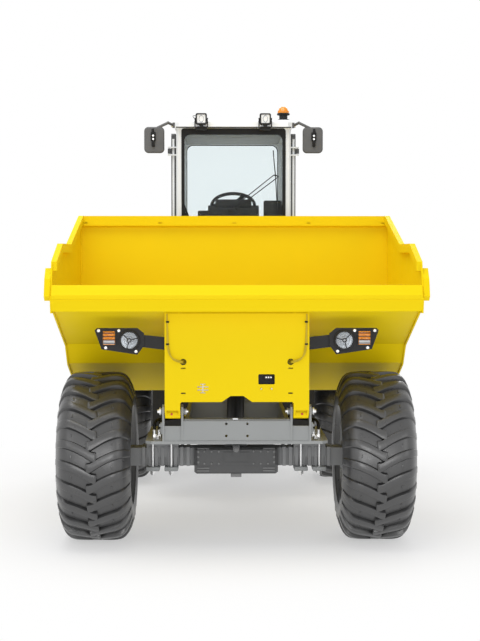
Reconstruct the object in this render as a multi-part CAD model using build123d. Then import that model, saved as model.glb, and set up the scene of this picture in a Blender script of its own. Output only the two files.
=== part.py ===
from build123d import *
import math
import os

# Articulated front-tip site dumper with a cab: a skip on the front frame, a cab and engine on the rear frame.
# Millimetres. X is across the machine (+X is the driver's left), Y runs rearwards, Z is up; the skip faces -Y.
# The origin is on the ground below the middle of the machine's outer box.

# Wheels and stance
TYRE_RADIUS = 585.5        # 500/60-22.5 tyre, out to the lug tips
TYRE_WIDTH = 503
RIM_RADIUS = 286
LUG_COUNT = 24             # lugs on each half of the tread; the halves are staggered by half a pitch
LUG_DEPTH = 45
CROWN_DROP = 24            # fall of the tread from its middle to the shoulder
LUG_SWEEP = 9              # degrees that a lug runs round between the middle and the shoulder
LUG_OVERLAP = 25           # how far a lug's inner end passes the middle
TRACK = 1920
WHEELBASE = 2550
FRONT_OVERHANG = 745       # front axle to lip
REAR_OVERHANG = 1195       # rear axle to tail lamps
FRONT_AXLE_Y = -(WHEELBASE + REAR_OVERHANG - FRONT_OVERHANG) / 2
REAR_AXLE_Y = FRONT_AXLE_Y + WHEELBASE
PIVOT_Y = FRONT_AXLE_Y + WHEELBASE / 2
REAR_END_Y = REAR_AXLE_Y + REAR_OVERHANG
AXLE_Z = TYRE_RADIUS
HUB_X = TRACK / 2 - 60     # face that the wheel is bolted to
PIN_CLEARANCE = 0.3        # radial gap of a pin in its eye
SEAT_GAP = 0.3             # gap of a piece above the rest it lies on
RUN_GAP = 5                # gap beside a plate that turns past another

# Front and rear frames: heights stand on the axles' height
FRAME_X = 345              # outer face of the side plates
FRAME_PLATE = 25
BASE_PLATE = 20
FRONT_BASE_Z = AXLE_Z + 169.5
FRONT_TOP_Z = FRONT_BASE_Z + 145
TONGUE_HALF = 85
TONGUE_REACH = 535         # pivot to the cross plate that the tongue is welded to
TONGUE_LOW_Z = AXLE_Z + 104.5
TONGUE_HIGH_Z = TONGUE_LOW_Z + 190
YOKE_PLATE = 40
YOKE_GAP = 6
PIVOT_PIN_RADIUS = 40
BULKHEAD_Y = PIVOT_Y + 300
REAR_LOW_Z = AXLE_Z + 74.5
DECK_Z = REAR_LOW_Z + 390
DECK_PLATE = 12
DECK_TOP_Z = DECK_Z + DECK_PLATE
NOSE_REACH = 235           # axle centre to the flange where the shaft starts
SHAFT_RADIUS, SHAFT_BALL = 38, 42

# Tail
TAIL_LAMP = 20
TAIL_Y = REAR_END_Y - TAIL_LAMP
WEIGHT_DEPTH = 220
WEIGHT_HALF = 520
WEIGHT_LOW_Z = AXLE_Z - 25.5
TOW_PIN_RADIUS = 16
TOW_PIN_BACK = 60          # tow pin to the weight's rear face

# Skip: heights stand on the front frame, Y is measured from the front axle
SKIP_HALF_WIDTH = 1200
SKIP_PLATE = 10
SKIP_INNER_X = SKIP_HALF_WIDTH - SKIP_PLATE
SKIP_BOTTOM_Z = FRONT_TOP_Z + 60
SKIP_REAR_FOOT_Y = 1010
SKIP_REAR_TOP = (1075, SKIP_BOTTOM_Z + 1330)
SKIP_SIDE_STEP_Z = SKIP_BOTTOM_Z + 1102
SIDE_RIM = 27              # folded rim inside the side plates' top edges
REAR_RIM = (55, 75)        # depth and height of the rear wall's box rim
LIP_Y = -FRONT_OVERHANG
LIP_TOP_Z = SKIP_BOTTOM_Z + 831
HOOK_OUT = 38              # side hooks beyond the side plates
FLOOR_FRONT = (LIP_Y + 145, SKIP_BOTTOM_Z + 662)
FLOOR_OUTLINE = [FLOOR_FRONT, (60, SKIP_BOTTOM_Z + 402), (190, SKIP_BOTTOM_Z + 257),
                 (SKIP_REAR_FOOT_Y - 210, SKIP_BOTTOM_Z), (SKIP_REAR_FOOT_Y, SKIP_BOTTOM_Z)]

# Support panel below the skip and the pivot that it tips on
PANEL_Y = LIP_Y + 179
PANEL_SHEET = 10
SUPPORT_HALF = 474
SUPPORT_WEB = 12
LUG_INNER_X = 373
TIP_PIVOT = (PANEL_Y + 86, FRONT_BASE_Z + 195)
TIP_LUG_RADIUS = 48
TIP_PIN_RADIUS = 22
EAR_PLATE = 14
PANEL_LOW_Z = TIP_PIVOT[1] + 71

# Tip and steering rams
TIP_BASE = (420, FRONT_BASE_Z - 40)
TIP_EYE = (-100, TIP_PIVOT[1] + 270)
TIP_BARREL_RADIUS, TIP_ROD_RADIUS = 62, 36
TIP_FOOT_PIN_RADIUS, TIP_EYE_PIN_RADIUS = 24, 25
TIP_EAR = (62, 80)         # inner and outer faces of the ears below the floor
STEER_Z = (TONGUE_LOW_Z + TONGUE_HIGH_Z) / 2
STEER_BASE = (260, 230)    # from the articulation pivot
STEER_EYE = (200, -450)
STEER_BARREL_RADIUS, STEER_ROD_RADIUS = 36, 20
STEER_PIN_RADIUS = 18

# Cab
CAB_HALF = 468
CAB_LENGTH = 1150
CAB_FRONT_Y = REAR_AXLE_Y - 950
CAB_REAR_Y = CAB_FRONT_Y + CAB_LENGTH
CAB_FLOOR_Z = DECK_Z + 390
CAB_TOP_Z = CAB_FLOOR_Z + 1582
ROOF_TOP_Z = CAB_TOP_Z + 68
ROOF_FRONT_Y = CAB_FRONT_Y - 42
ROOF_OVERHANG = 10
CAB_WALL = 55
CAB_INNER = CAB_HALF - CAB_WALL
BASE_WALL = 40
WINDOW_LOW_Z, WINDOW_HIGH_Z = CAB_FLOOR_Z + 350, CAB_TOP_Z - 37
WINDOW_CORNER = 60
GLASS = 6
GLASS_INSET = 18
DOOR_INNER_X, DOOR_OUTER_X = CAB_HALF + 8, CAB_HALF + 43
DOOR_AXIS = (CAB_HALF + 57, CAB_FRONT_Y + 50)
DOOR_GAP = 10
DOOR_FRAME = 45
DOOR_LOW_Z, DOOR_HIGH_Z = CAB_FLOOR_Z + 50, CAB_TOP_Z - 30
HINGE_HEIGHTS = (DOOR_LOW_Z + 150, DOOR_HIGH_Z - 152)
HINGE_PIN_RADIUS = 8
STEERING_CENTRE = (0, CAB_FRONT_Y + 330, CAB_FLOOR_Z + 970)
STEERING_TILT = 30
STEERING_RADIUS = 180

# Bonnet
BONNET_HALF = CAB_HALF + 12
BONNET_FRONT_Y = CAB_REAR_Y + 40
BONNET_REAR_Y = REAR_END_Y - 65
BONNET_TOP_Z = DECK_Z + 650
BONNET_SHEET = 16
BONNET_BEVEL = 70
BONNET_HINGE = (BONNET_FRONT_Y + 12, BONNET_TOP_Z + 16)
BONNET_EARS = (300, 380)   # inner and outer ear of each hinge

nodes = {}


# Shape helpers
def box(x0, x1, y0, y1, z0, z1):
    return Pos((x0 + x1) / 2, (y0 + y1) / 2, (z0 + z1) / 2) * Box(abs(x1 - x0), abs(y1 - y0), abs(z1 - z0))


def face_of(points):
    return make_face(Polyline(*points, close=True))


def slab_x(points, x0, x1):
    """Outline of (y, z) points, extruded from x0 to x1."""
    plane = Plane(origin=(x0, 0, 0), x_dir=(0, 1, 0), z_dir=(1, 0, 0))
    return extrude(plane * face_of(points), amount=x1 - x0)


def slab_y(points, y0, y1):
    """Outline of (x, z) points, extruded from y0 to y1."""
    plane = Plane(origin=(0, y1, 0), x_dir=(1, 0, 0), z_dir=(0, -1, 0))
    return extrude(plane * face_of(points), amount=y1 - y0)


def slab_z(points, z0, z1):
    """Outline of (x, y) points, extruded from z0 to z1."""
    return extrude(Plane(origin=(0, 0, z0)) * face_of(points), amount=z1 - z0)


def rounded_y(x0, x1, z0, z1, corner, y0, y1):
    """A plate with round corners, seen from the front."""
    plane = Plane(origin=((x0 + x1) / 2, y1, (z0 + z1) / 2), x_dir=(1, 0, 0), z_dir=(0, -1, 0))
    return extrude(plane * RectangleRounded(x1 - x0, z1 - z0, corner), amount=y1 - y0)


def rounded_x(y0, y1, z0, z1, corner, x0, x1):
    """A plate with round corners, seen from the side."""
    low, high = min(x0, x1), max(x0, x1)
    plane = Plane(origin=(low, (y0 + y1) / 2, (z0 + z1) / 2), x_dir=(0, 1, 0), z_dir=(1, 0, 0))
    return extrude(plane * RectangleRounded(y1 - y0, z1 - z0, corner), amount=high - low)


def rod(start, end, radius):
    start, end = Vector(*start), Vector(*end)
    plane = Plane(origin=start, z_dir=end - start)
    return extrude(plane * Circle(radius), amount=(end - start).length)


def tube(start, end, outer, inner):
    return rod(start, end, outer) - rod(start, end, inner)


def turned(points):
    """Outline of (x, radius) points turned about the X axis."""
    return revolve(Plane.XY * face_of(points), axis=Axis.X)


def faceted_ring(profile, sides):
    """A closed outline of (x, radius) points carried round the X axis in flat facets."""
    turns = [math.radians(360 * (i + 0.5) / sides) for i in range(sides)]
    rings = [[(x, -r * math.cos(turn), r * math.sin(turn)) for turn in turns] for x, r in profile]
    faces = []
    for ring, following in zip(rings, rings[1:] + rings[:1]):
        for i in range(sides):
            j = (i + 1) % sides
            faces.append(face_of([ring[i], ring[j], following[j], following[i]]))
    return Solid(Shell(faces))


def skinned(sections):
    """A closed solid through four-cornered sections, with a flat side between each pair of edges."""
    faces = [face_of(sections[0]), face_of(sections[-1])]
    for first, second in zip(sections, sections[1:]):
        for i in range(4):
            j = (i + 1) % 4
            faces.append(face_of([first[i], first[j], second[j], second[i]]))
    return Solid(Shell(faces))


def both_sides(shape):
    """The shape and its mirror image across the machine's middle plane."""
    return [shape, mirror(shape, about=Plane.YZ)]


def fuse(*shapes):
    whole = shapes[0]
    for shape in shapes[1:]:
        whole = whole + shape
    return whole.clean()


def keep(name, *shapes):
    """Stores a node: one solid, or several that do not touch."""
    solids = [solid for shape in shapes for solid in shape.solids()]
    nodes[name] = solids[0] if len(solids) == 1 else Compound(children=solids)


def front(points):
    """Points given from the front axle, moved into the machine's frame."""
    return [(FRONT_AXLE_Y + y, z) for y, z in points]


# Skip: floor, sides, rear wall, lip
def offset_up(points, distance):
    """A polyline moved to its upper side by a plate's thickness, with mitred corners."""
    normals = []
    for (y0, z0), (y1, z1) in zip(points, points[1:]):
        length = math.hypot(y1 - y0, z1 - z0)
        normals.append((-(z1 - z0) / length, (y1 - y0) / length))
    moved = []
    for i, (y, z) in enumerate(points):
        first, second = normals[max(i - 1, 0)], normals[min(i, len(normals) - 1)]
        share = distance / (1 + first[0] * second[0] + first[1] * second[1])
        moved.append((y + (first[0] + second[0]) * share, z + (first[1] + second[1]) * share))
    return moved


def floor_z(y):
    """Height of the floor's underside at y from the front axle."""
    for (y0, z0), (y1, z1) in zip(FLOOR_OUTLINE, FLOOR_OUTLINE[1:]):
        if y <= y1:
            return z0 + (z1 - z0) * (y - y0) / (y1 - y0)
    return SKIP_BOTTOM_Z


def rear_wall_y(z):
    """Outer face of the sloping rear wall at height z."""
    top_y, top_z = SKIP_REAR_TOP
    return SKIP_REAR_FOOT_Y + (top_y - SKIP_REAR_FOOT_Y) * (z - SKIP_BOTTOM_Z) / (top_z - SKIP_BOTTOM_Z)


def skip():
    floor_top = offset_up(FLOOR_OUTLINE, SKIP_PLATE)
    keep("skip_floor", slab_x(front(FLOOR_OUTLINE + floor_top[::-1]), -SKIP_INNER_X, SKIP_INNER_X))
    skip_rear_wall()
    lip = slab_x(front([
        FLOOR_FRONT, floor_top[0], (LIP_Y + 55, LIP_TOP_Z), (LIP_Y + 39, LIP_TOP_Z), (LIP_Y, LIP_TOP_Z - 64),
        (LIP_Y, LIP_TOP_Z - 88), (LIP_Y + 11, LIP_TOP_Z - 91), (LIP_Y + 33, FLOOR_FRONT[1])]),
        -SKIP_INNER_X, SKIP_INNER_X)
    keep("skip_lip", lip)
    skip_sides()
    skip_support()
    lamps()


def skip_rear_wall():
    """The rear wall stands on the floor's rear end and carries a box rim with five small slots."""
    top_y, top_z = SKIP_REAR_TOP
    rim_depth, rim_height = REAR_RIM
    foot_z = SKIP_BOTTOM_Z + SKIP_PLATE
    wall = slab_x(front([
        (rear_wall_y(foot_z) - SKIP_PLATE, foot_z), (rear_wall_y(foot_z), foot_z), (top_y, top_z),
        (top_y - rim_depth, top_z), (top_y - rim_depth, top_z - rim_height),
        (rear_wall_y(top_z - rim_height) - SKIP_PLATE, top_z - rim_height - 12)]), -SKIP_INNER_X,
                  SKIP_INNER_X)
    slot_half, slot_height, slot_depth, slots = 14, 9, 22, 5
    face_y, slot_z = FRONT_AXLE_Y + top_y - rim_depth, top_z - rim_height + 16
    pitch = 2 * (SKIP_INNER_X - 40) / (slots - 1)
    for i in range(slots):
        x = (i - (slots - 1) / 2) * pitch
        wall -= box(x - slot_half, x + slot_half, face_y - 1, face_y + slot_depth, slot_z,
                    slot_z + slot_height)
    keep("skip_rear_wall", wall)


def skip_sides():
    """Side plates run a little past the floor, with a folded rim along the top and a hook near the lip."""
    margin, rim_height = 12, 60
    top_y, top_z = SKIP_REAR_TOP
    under = [(y, z - margin) for y, z in FLOOR_OUTLINE]
    crest = [(LIP_Y + 93, LIP_TOP_Z + 151), (LIP_Y + 425, SKIP_SIDE_STEP_Z), (LIP_Y + 915, SKIP_SIDE_STEP_Z),
             (top_y - 90, top_z)]
    side = slab_x(front(
        [(LIP_Y + 33, FLOOR_FRONT[1] - margin), (LIP_Y + 12, LIP_TOP_Z - 90), (LIP_Y + 45, LIP_TOP_Z)] + crest
        + [(top_y, top_z), (SKIP_REAR_FOOT_Y, SKIP_BOTTOM_Z - margin)] + under[::-1][1:]),
        SKIP_INNER_X, SKIP_HALF_WIDTH)
    rim_end = (top_y - REAR_RIM[0] - 1, top_z)
    band = crest + [rim_end]
    rim = slab_x(front(band + [(y, z - rim_height) for y, z in band[::-1]]), SKIP_INNER_X - SIDE_RIM,
                 SKIP_INNER_X)
    hook = slab_x(front([(LIP_Y + 45, LIP_TOP_Z - 101), (LIP_Y + 10, LIP_TOP_Z - 71),
                         (LIP_Y + 45, LIP_TOP_Z + 39),
                         (LIP_Y + 105, LIP_TOP_Z + 109), (LIP_Y + 145, LIP_TOP_Z + 89),
                         (LIP_Y + 145, LIP_TOP_Z - 71)]), SKIP_HALF_WIDTH, SKIP_HALF_WIDTH + HOOK_OUT)
    keep("skip_sides", *both_sides(fuse(side, rim, hook)))


# Support panel, tip ears and lamps: all below the skip's floor
def panel_cuts(y0, y1):
    """Slots, cable holes, vent and socket window of the support panel, as one list of cutters."""
    slot_x, slot_half, slot_height = 352, 15, 9
    hole_radius, hole_z = 16, PANEL_LOW_Z + 264
    vent_x, vent_z, bar = -224, PANEL_LOW_Z + 89, 8
    window = (140, 248, PANEL_LOW_Z + 116, PANEL_LOW_Z + 183)
    cuts = [rounded_y(*window, 8, y0, y1), box(vent_x - bar / 2, vent_x + bar / 2, y0, y1, vent_z - 32,
                                               vent_z + 32)]
    for rise, half in ((-28, 17), (-10, 36), (10, 36), (28, 17)):
        cuts.append(box(vent_x - half, vent_x + half, y0, y1, vent_z + rise - bar / 2,
                        vent_z + rise + bar / 2))
    for x in (-slot_x, slot_x):
        cuts.append(rod((x, y0, hole_z), (x, y1, hole_z), hole_radius))
        for z in (PANEL_LOW_Z + 58, PANEL_LOW_Z + 222):
            cuts.append(box(x - slot_half, x + slot_half, y0, y1, z - slot_height / 2, z + slot_height / 2))
    return cuts


def skip_support():
    """The front panel, its legs and webs, and the two lugs that turn on the tip pins."""
    pivot_y, pivot_z = TIP_PIVOT
    y0 = FRONT_AXLE_Y + PANEL_Y
    y1 = y0 + PANEL_SHEET
    low, arch_low, leg_low, half = PANEL_LOW_Z, PANEL_LOW_Z + 40, pivot_z + 15, SUPPORT_HALF
    high = floor_z(PANEL_Y + PANEL_SHEET) - SEAT_GAP
    outline = [(-half, leg_low), (-half, high), (half, high), (half, leg_low), (LUG_INNER_X, leg_low),
               (LUG_INNER_X, low - 10), (LUG_INNER_X - 10, low), (100, low), (42, arch_low), (-42, arch_low),
               (-100, low), (10 - LUG_INNER_X, low), (-LUG_INNER_X, low - 10), (-LUG_INNER_X, leg_low)]
    panel = slab_y(outline, y0, y1)
    for cut in panel_cuts(y0 - 1, y1 + 1):
        panel -= cut
    web_back = -150
    web_outline = front([
        (PANEL_Y, leg_low), (PANEL_Y, floor_z(PANEL_Y) - SEAT_GAP), (web_back, floor_z(web_back) - SEAT_GAP),
        (web_back - 70, pivot_z + 380), (pivot_y + TIP_LUG_RADIUS, pivot_z),
                         (pivot_y, pivot_z - TIP_LUG_RADIUS),
        (PANEL_Y + 30, pivot_z - 20)])
    pieces = [panel]
    for x0 in (LUG_INNER_X, SUPPORT_HALF - SUPPORT_WEB):
        pieces += both_sides(slab_x(web_outline, x0, x0 + SUPPORT_WEB))
    centre = (FRONT_AXLE_Y + pivot_y, pivot_z)
    for sign in (1, -1):
        pieces.append(rod((sign * LUG_INNER_X, *centre), (sign * SUPPORT_HALF, *centre), TIP_LUG_RADIUS))
    support = fuse(*pieces)
    support -= rod((-SUPPORT_HALF, *centre), (SUPPORT_HALF, *centre), TIP_PIN_RADIUS + PIN_CLEARANCE)
    keep("skip_support", support)

    # The tip ram pushes between two ears below the floor.
    eye_y, eye_z = TIP_EYE
    reach, foot = 90, 45
    ear = slab_x(front([
        (eye_y - reach, floor_z(eye_y - reach) - SEAT_GAP), (eye_y + reach,
                                                             floor_z(eye_y + reach) - SEAT_GAP),
        (eye_y + foot, eye_z - 25), (eye_y + foot - 20, eye_z - 40), (eye_y - foot + 20, eye_z - 40),
        (eye_y - foot, eye_z - 25)]), *TIP_EAR)
    keep("tip_ears", *both_sides(ear))


def lamps():
    """Lamp arms and plates at both sides of the support, with headlamps and indicators."""
    y = FRONT_AXLE_Y + PANEL_Y + 46
    plate_thick, arm_thick = 14, 10
    inner = SUPPORT_HALF + 136
    low = PANEL_LOW_Z + 309
    plate = slab_y([(inner, low + 60), (inner, low + 140), (inner + 45, low + 175), (inner + 310, low + 175),
                    (inner + 325, low + 160), (inner + 280, low + 35), (inner + 45, low)], y, y + plate_thick)
    arm = slab_y([(SUPPORT_HALF, low + 30), (inner + 30, low + 50), (inner + 30, low + 132),
                  (SUPPORT_HALF, low + 114)], y + plate_thick, y + plate_thick + arm_thick)
    keep("lamp_brackets", *both_sides(fuse(plate, arm)))
    radius, depth = 68, 22
    bezel = turned([(0, 0), (0, radius), (-depth + 4, radius), (-depth, radius - 4), (-depth, radius - 9),
                    (-12, radius - 16), (-12, 0)])
    keep("headlamps", *both_sides(Pos(inner + 97, y, low + 95) * Rot(0, 0, 90) * bezel))
    flasher = box(inner + 190, inner + 270, y - 12, y, low + 65, low + 155)
    keep("indicators", *both_sides(chamfer(flasher.faces().sort_by(Axis.Y)[0].edges(), 4)))


# Front frame with the ears of the tip pivot, the tongue and the feet of the rams
def front_frame():
    pivot_y, pivot_z = TIP_PIVOT
    ear_outline = front([(pivot_y - 30, FRONT_BASE_Z), (pivot_y - 40, pivot_z - 20),
                         (pivot_y - 32, pivot_z + 32), (pivot_y, pivot_z + 46), (pivot_y + 32, pivot_z + 32),
                         (pivot_y + 40, pivot_z - 20), (pivot_y + 60, FRONT_BASE_Z)])
    inner_ear, outer_ear = LUG_INNER_X - EAR_PLATE - RUN_GAP, SUPPORT_HALF + RUN_GAP
    pieces = []
    for x0 in (inner_ear, outer_ear):
        pieces += both_sides(slab_x(ear_outline, x0, x0 + EAR_PLATE))
    front_y = FRONT_AXLE_Y + pivot_y - 30
    pieces.append(cross_member(front_y, inner_ear + EAR_PLATE))
    stop = box(inner_ear + EAR_PLATE, outer_ear, front_y + 6, front_y + 18, FRONT_BASE_Z, pivot_z - 95)
    base_half, base_rear = SUPPORT_HALF + 131, FRONT_AXLE_Y + 260
    base = slab_z([(-base_half, front_y + 40), (-base_half + 40, front_y), (base_half - 40, front_y),
                   (base_half, front_y + 40), (base_half, base_rear), (-base_half, base_rear)],
                  FRONT_BASE_Z - BASE_PLATE, FRONT_BASE_Z)
    base -= box(-110, 110, FRONT_AXLE_Y + 100, base_rear + 1, FRONT_BASE_Z - BASE_PLATE - 1, FRONT_BASE_Z + 1)
    rear = PIVOT_Y - 375 - FRONT_AXLE_Y
    side = slab_x(front([(pivot_y - 20, FRONT_BASE_Z), (pivot_y - 20, FRONT_TOP_Z), (rear, FRONT_TOP_Z),
                         (rear, TONGUE_LOW_Z + 30), (rear - 145, TONGUE_LOW_Z), (rear - 300, TONGUE_LOW_Z),
                         (300, FRONT_BASE_Z - BASE_PLATE)]), FRAME_X - FRAME_PLATE, FRAME_X)
    rest_length, rest_end = 80, FRONT_AXLE_Y + rear
    rest = box(FRAME_X - 80, FRAME_X, rest_end - rest_length, rest_end, FRONT_TOP_Z,
               SKIP_BOTTOM_Z - SEAT_GAP)
    pieces += [base, *both_sides(stop), *both_sides(side), *both_sides(rest)]
    pieces += tongue()
    pieces += tip_foot()
    for sign in (1, -1):
        pieces.append(rod((sign * (inner_ear - 16), FRONT_AXLE_Y + pivot_y, pivot_z),
                          (sign * (outer_ear + EAR_PLATE + 11), FRONT_AXLE_Y + pivot_y, pivot_z),
                          TIP_PIN_RADIUS))
    keep("front_frame", fuse(*pieces))
    front_axle()


def cross_member(front_y, half):
    """Folded plate between the inner ears, with four bolt holes."""
    sheet, flange, hole_radius = 12, 80, 8.5
    member = slab_x([(front_y, FRONT_BASE_Z), (front_y, FRONT_TOP_Z - 12), (front_y + 12, FRONT_TOP_Z),
                     (front_y + flange, FRONT_TOP_Z), (front_y + flange, FRONT_TOP_Z - sheet),
                     (front_y + sheet, FRONT_TOP_Z - sheet), (front_y + sheet, FRONT_BASE_Z)], -half, half)
    for x in (-70, 70):
        for z in (FRONT_BASE_Z + 35, FRONT_BASE_Z + 115):
            member -= rod((x, front_y - 1, z), (x, front_y + sheet + 1, z), hole_radius)
    return member


def tongue():
    """The tongue that reaches back to the pivot, its cross plate and the ears of the steering rams."""
    root_y = PIVOT_Y - TONGUE_REACH
    plate = box(-FRAME_X, FRAME_X, root_y - FRAME_PLATE, root_y, TONGUE_LOW_Z, FRONT_TOP_Z)
    arm = slab_z([(-FRAME_X / 2, root_y), (FRAME_X / 2, root_y), (TONGUE_HALF, root_y + 110),
                  (TONGUE_HALF, PIVOT_Y), (-TONGUE_HALF, PIVOT_Y), (-TONGUE_HALF, root_y + 110)],
                 TONGUE_LOW_Z, STEER_Z - 60)
    arm += box(-TONGUE_HALF, TONGUE_HALF, root_y, PIVOT_Y, TONGUE_LOW_Z, TONGUE_HIGH_Z)
    arm += rod((0, PIVOT_Y, TONGUE_LOW_Z), (0, PIVOT_Y, TONGUE_HIGH_Z), TONGUE_HALF)
    arm -= rod((0, PIVOT_Y, TONGUE_LOW_Z - 1), (0, PIVOT_Y, TONGUE_HIGH_Z + 1),
               PIVOT_PIN_RADIUS + PIN_CLEARANCE)
    eye_x, eye_y = STEER_EYE
    half, gap, thick = 45, 26, 24
    ears = []
    for low in (STEER_Z - gap - thick, STEER_Z + gap):
        ears += both_sides(box(eye_x - half, eye_x + half, root_y, PIVOT_Y + eye_y + 40, low, low + thick))
    return [plate, arm, *ears]


def tip_foot():
    """Cross plate, two ears and the pin that the tip ram stands on."""
    base_y, base_z = FRONT_AXLE_Y + TIP_BASE[0], TIP_BASE[1]
    inner, outer = 70, 90
    cross = box(-FRAME_X, FRAME_X, base_y + 80, base_y + 105, AXLE_Z + 74.5, FRONT_TOP_Z)
    ear = slab_x([(base_y - 45, base_z - 20), (base_y - 45, base_z + 25), (base_y - 20, base_z + 50),
                  (base_y + 85, base_z + 50), (base_y + 85, base_z - 45), (base_y - 20, base_z - 45)], inner,
                 outer)
    pin = rod((-outer, base_y, base_z), (outer, base_y, base_z), TIP_FOOT_PIN_RADIUS)
    return [cross, *both_sides(ear), pin]


# Axles and shafts
def axle_casting(y, shaft_side):
    """Ribbed axle beam with a differential and hub ends; shaft_side is +1 where the shaft leaves rearwards."""
    beam_half, beam_y, beam_z = HUB_X - 90, 75, 62
    beam = box(-beam_half, beam_half, y - beam_y, y + beam_y, AXLE_Z - beam_z, AXLE_Z + beam_z)
    hubs = both_sides(turned([(HUB_X - 160, 0), (HUB_X - 160, 95), (HUB_X - 130, 130), (HUB_X - 25, 130),
                              (HUB_X - 25, 150), (HUB_X, 150), (HUB_X, 0)]))
    pieces = [beam] + [Pos(0, y, AXLE_Z) * hub for hub in hubs]
    rib_first, rib_pitch, rib_count, rib_width, rib_out = 322, 44, 8, 22, 22
    for i in range(rib_count):
        x = rib_first + i * rib_pitch
        pieces += both_sides(box(x, x + rib_width, y - beam_y - rib_out, y + beam_y + rib_out,
                                 AXLE_Z - beam_z, AXLE_Z + beam_z + 8))
    carrier_half, carrier_y = 285, 130
    carrier = box(-carrier_half, carrier_half, y - carrier_y, y + carrier_y, AXLE_Z - 52, AXLE_Z + 56)
    carrier = chamfer(carrier.edges().filter_by(Axis.Z), 18)
    frame_out = 5
    carrier += box(-88, 88, y - carrier_y - frame_out, y + carrier_y + frame_out, AXLE_Z - 38, AXLE_Z + 38)
    for sign in (1, -1):
        face = y + sign * (carrier_y + frame_out)
        carrier -= box(-80, 80, face - sign * 3, face + sign, AXLE_Z - 30, AXLE_Z + 30)
    sump = box(-carrier_half - 5, carrier_half + 5, y - 112, y + 112, AXLE_Z - 116, AXLE_Z - 50)
    sump = chamfer(sump.faces().sort_by(Axis.Z)[0].edges(), 16)
    tab = box(-24, 24, y - carrier_y - 12, y - carrier_y + 30, AXLE_Z + 10, AXLE_Z + 88)
    nose = Pos(0, y, AXLE_Z) * Rot(0, 0, 90 * shaft_side) * turned(
        [(0, 0), (0, 105), (NOSE_REACH - 60, 70), (NOSE_REACH - 20, 70), (NOSE_REACH - 20, 82),
         (NOSE_REACH, 82), (NOSE_REACH, 0)])
    return fuse(*pieces, carrier, sump, tab, nose)


def front_axle():
    casting = axle_casting(FRONT_AXLE_Y, 1)
    pad = box(400, 620, FRONT_AXLE_Y - 90, FRONT_AXLE_Y + 90, AXLE_Z, FRONT_BASE_Z - BASE_PLATE)
    keep("front_axle", fuse(casting, *both_sides(pad)))
    shaft = rod((0, FRONT_AXLE_Y + NOSE_REACH, AXLE_Z), (0, PIVOT_Y, AXLE_Z), SHAFT_RADIUS)
    corners = [math.radians(30 * i) for i in range(7)]
    knuckle = turned([(-SHAFT_BALL * math.cos(turn), SHAFT_BALL * math.sin(turn)) for turn in corners])
    keep("front_shaft", fuse(shaft, Pos(0, PIVOT_Y, AXLE_Z) * Rot(0, 0, 90) * knuckle))


def rear_axle():
    casting = axle_casting(REAR_AXLE_Y, -1)
    pad = box(FRAME_X - 85, FRAME_X, REAR_AXLE_Y - 90, REAR_AXLE_Y + 90, AXLE_Z, REAR_LOW_Z)
    keep("rear_axle", fuse(casting, *both_sides(pad)))
    shaft = rod((0, PIVOT_Y + SHAFT_BALL + RUN_GAP, AXLE_Z), (0, REAR_AXLE_Y - NOSE_REACH, AXLE_Z),
                SHAFT_RADIUS)
    keep("rear_shaft", shaft)


# Rear frame with the yoke round the tongue
def rear_frame():
    pieces = []
    boss = TONGUE_HALF + 20
    yoke = [(-boss, PIVOT_Y), (boss, PIVOT_Y), (FRAME_X, PIVOT_Y + 150), (FRAME_X, BULKHEAD_Y),
            (-FRAME_X, BULKHEAD_Y), (-FRAME_X, PIVOT_Y + 150)]
    low, high = TONGUE_LOW_Z - YOKE_GAP - YOKE_PLATE, TONGUE_HIGH_Z + YOKE_GAP + YOKE_PLATE
    for z in (low, high - YOKE_PLATE):
        plate = slab_z(yoke, z, z + YOKE_PLATE)
        pieces.append(plate + rod((0, PIVOT_Y, z), (0, PIVOT_Y, z + YOKE_PLATE), boss))
    pieces.append(rod((0, PIVOT_Y, low - 8), (0, PIVOT_Y, high + 12), PIVOT_PIN_RADIUS))
    base_x, base_y = STEER_BASE
    for x in (-base_x, base_x):
        pieces.append(rod((x, PIVOT_Y + base_y, low + 1), (x, PIVOT_Y + base_y, high - 1), STEER_PIN_RADIUS))
    weight_front = TAIL_Y - WEIGHT_DEPTH
    bulkhead = box(-FRAME_X, FRAME_X, BULKHEAD_Y - 5, BULKHEAD_Y + 20, REAR_LOW_Z, DECK_Z)
    side = box(FRAME_X - FRAME_PLATE, FRAME_X, BULKHEAD_Y, weight_front, REAR_LOW_Z, DECK_Z)
    tail = box(-FRAME_X, FRAME_X, weight_front - FRAME_PLATE, weight_front, REAR_LOW_Z, DECK_Z)
    deck = box(-CAB_HALF, CAB_HALF, BULKHEAD_Y, CAB_REAR_Y + 24, DECK_Z, DECK_TOP_Z)
    firewall_top = BONNET_TOP_Z - 20
    firewall = slab_y([(-BONNET_HALF, DECK_TOP_Z), (-BONNET_HALF, firewall_top - BONNET_BEVEL),
                       (-BONNET_HALF + BONNET_BEVEL, firewall_top), (BONNET_HALF - BONNET_BEVEL,
                                                                     firewall_top),
                       (BONNET_HALF, firewall_top - BONNET_BEVEL), (BONNET_HALF, DECK_TOP_Z)],
                      CAB_REAR_Y + 8, CAB_REAR_Y + 24)
    pieces += [bulkhead, *both_sides(side), tail, deck, firewall, *bonnet_hinge()]
    keep("rear_frame", fuse(*pieces))
    rear_axle()
    engine()
    counterweight()
    side_tanks()
    mudguards()


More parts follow.
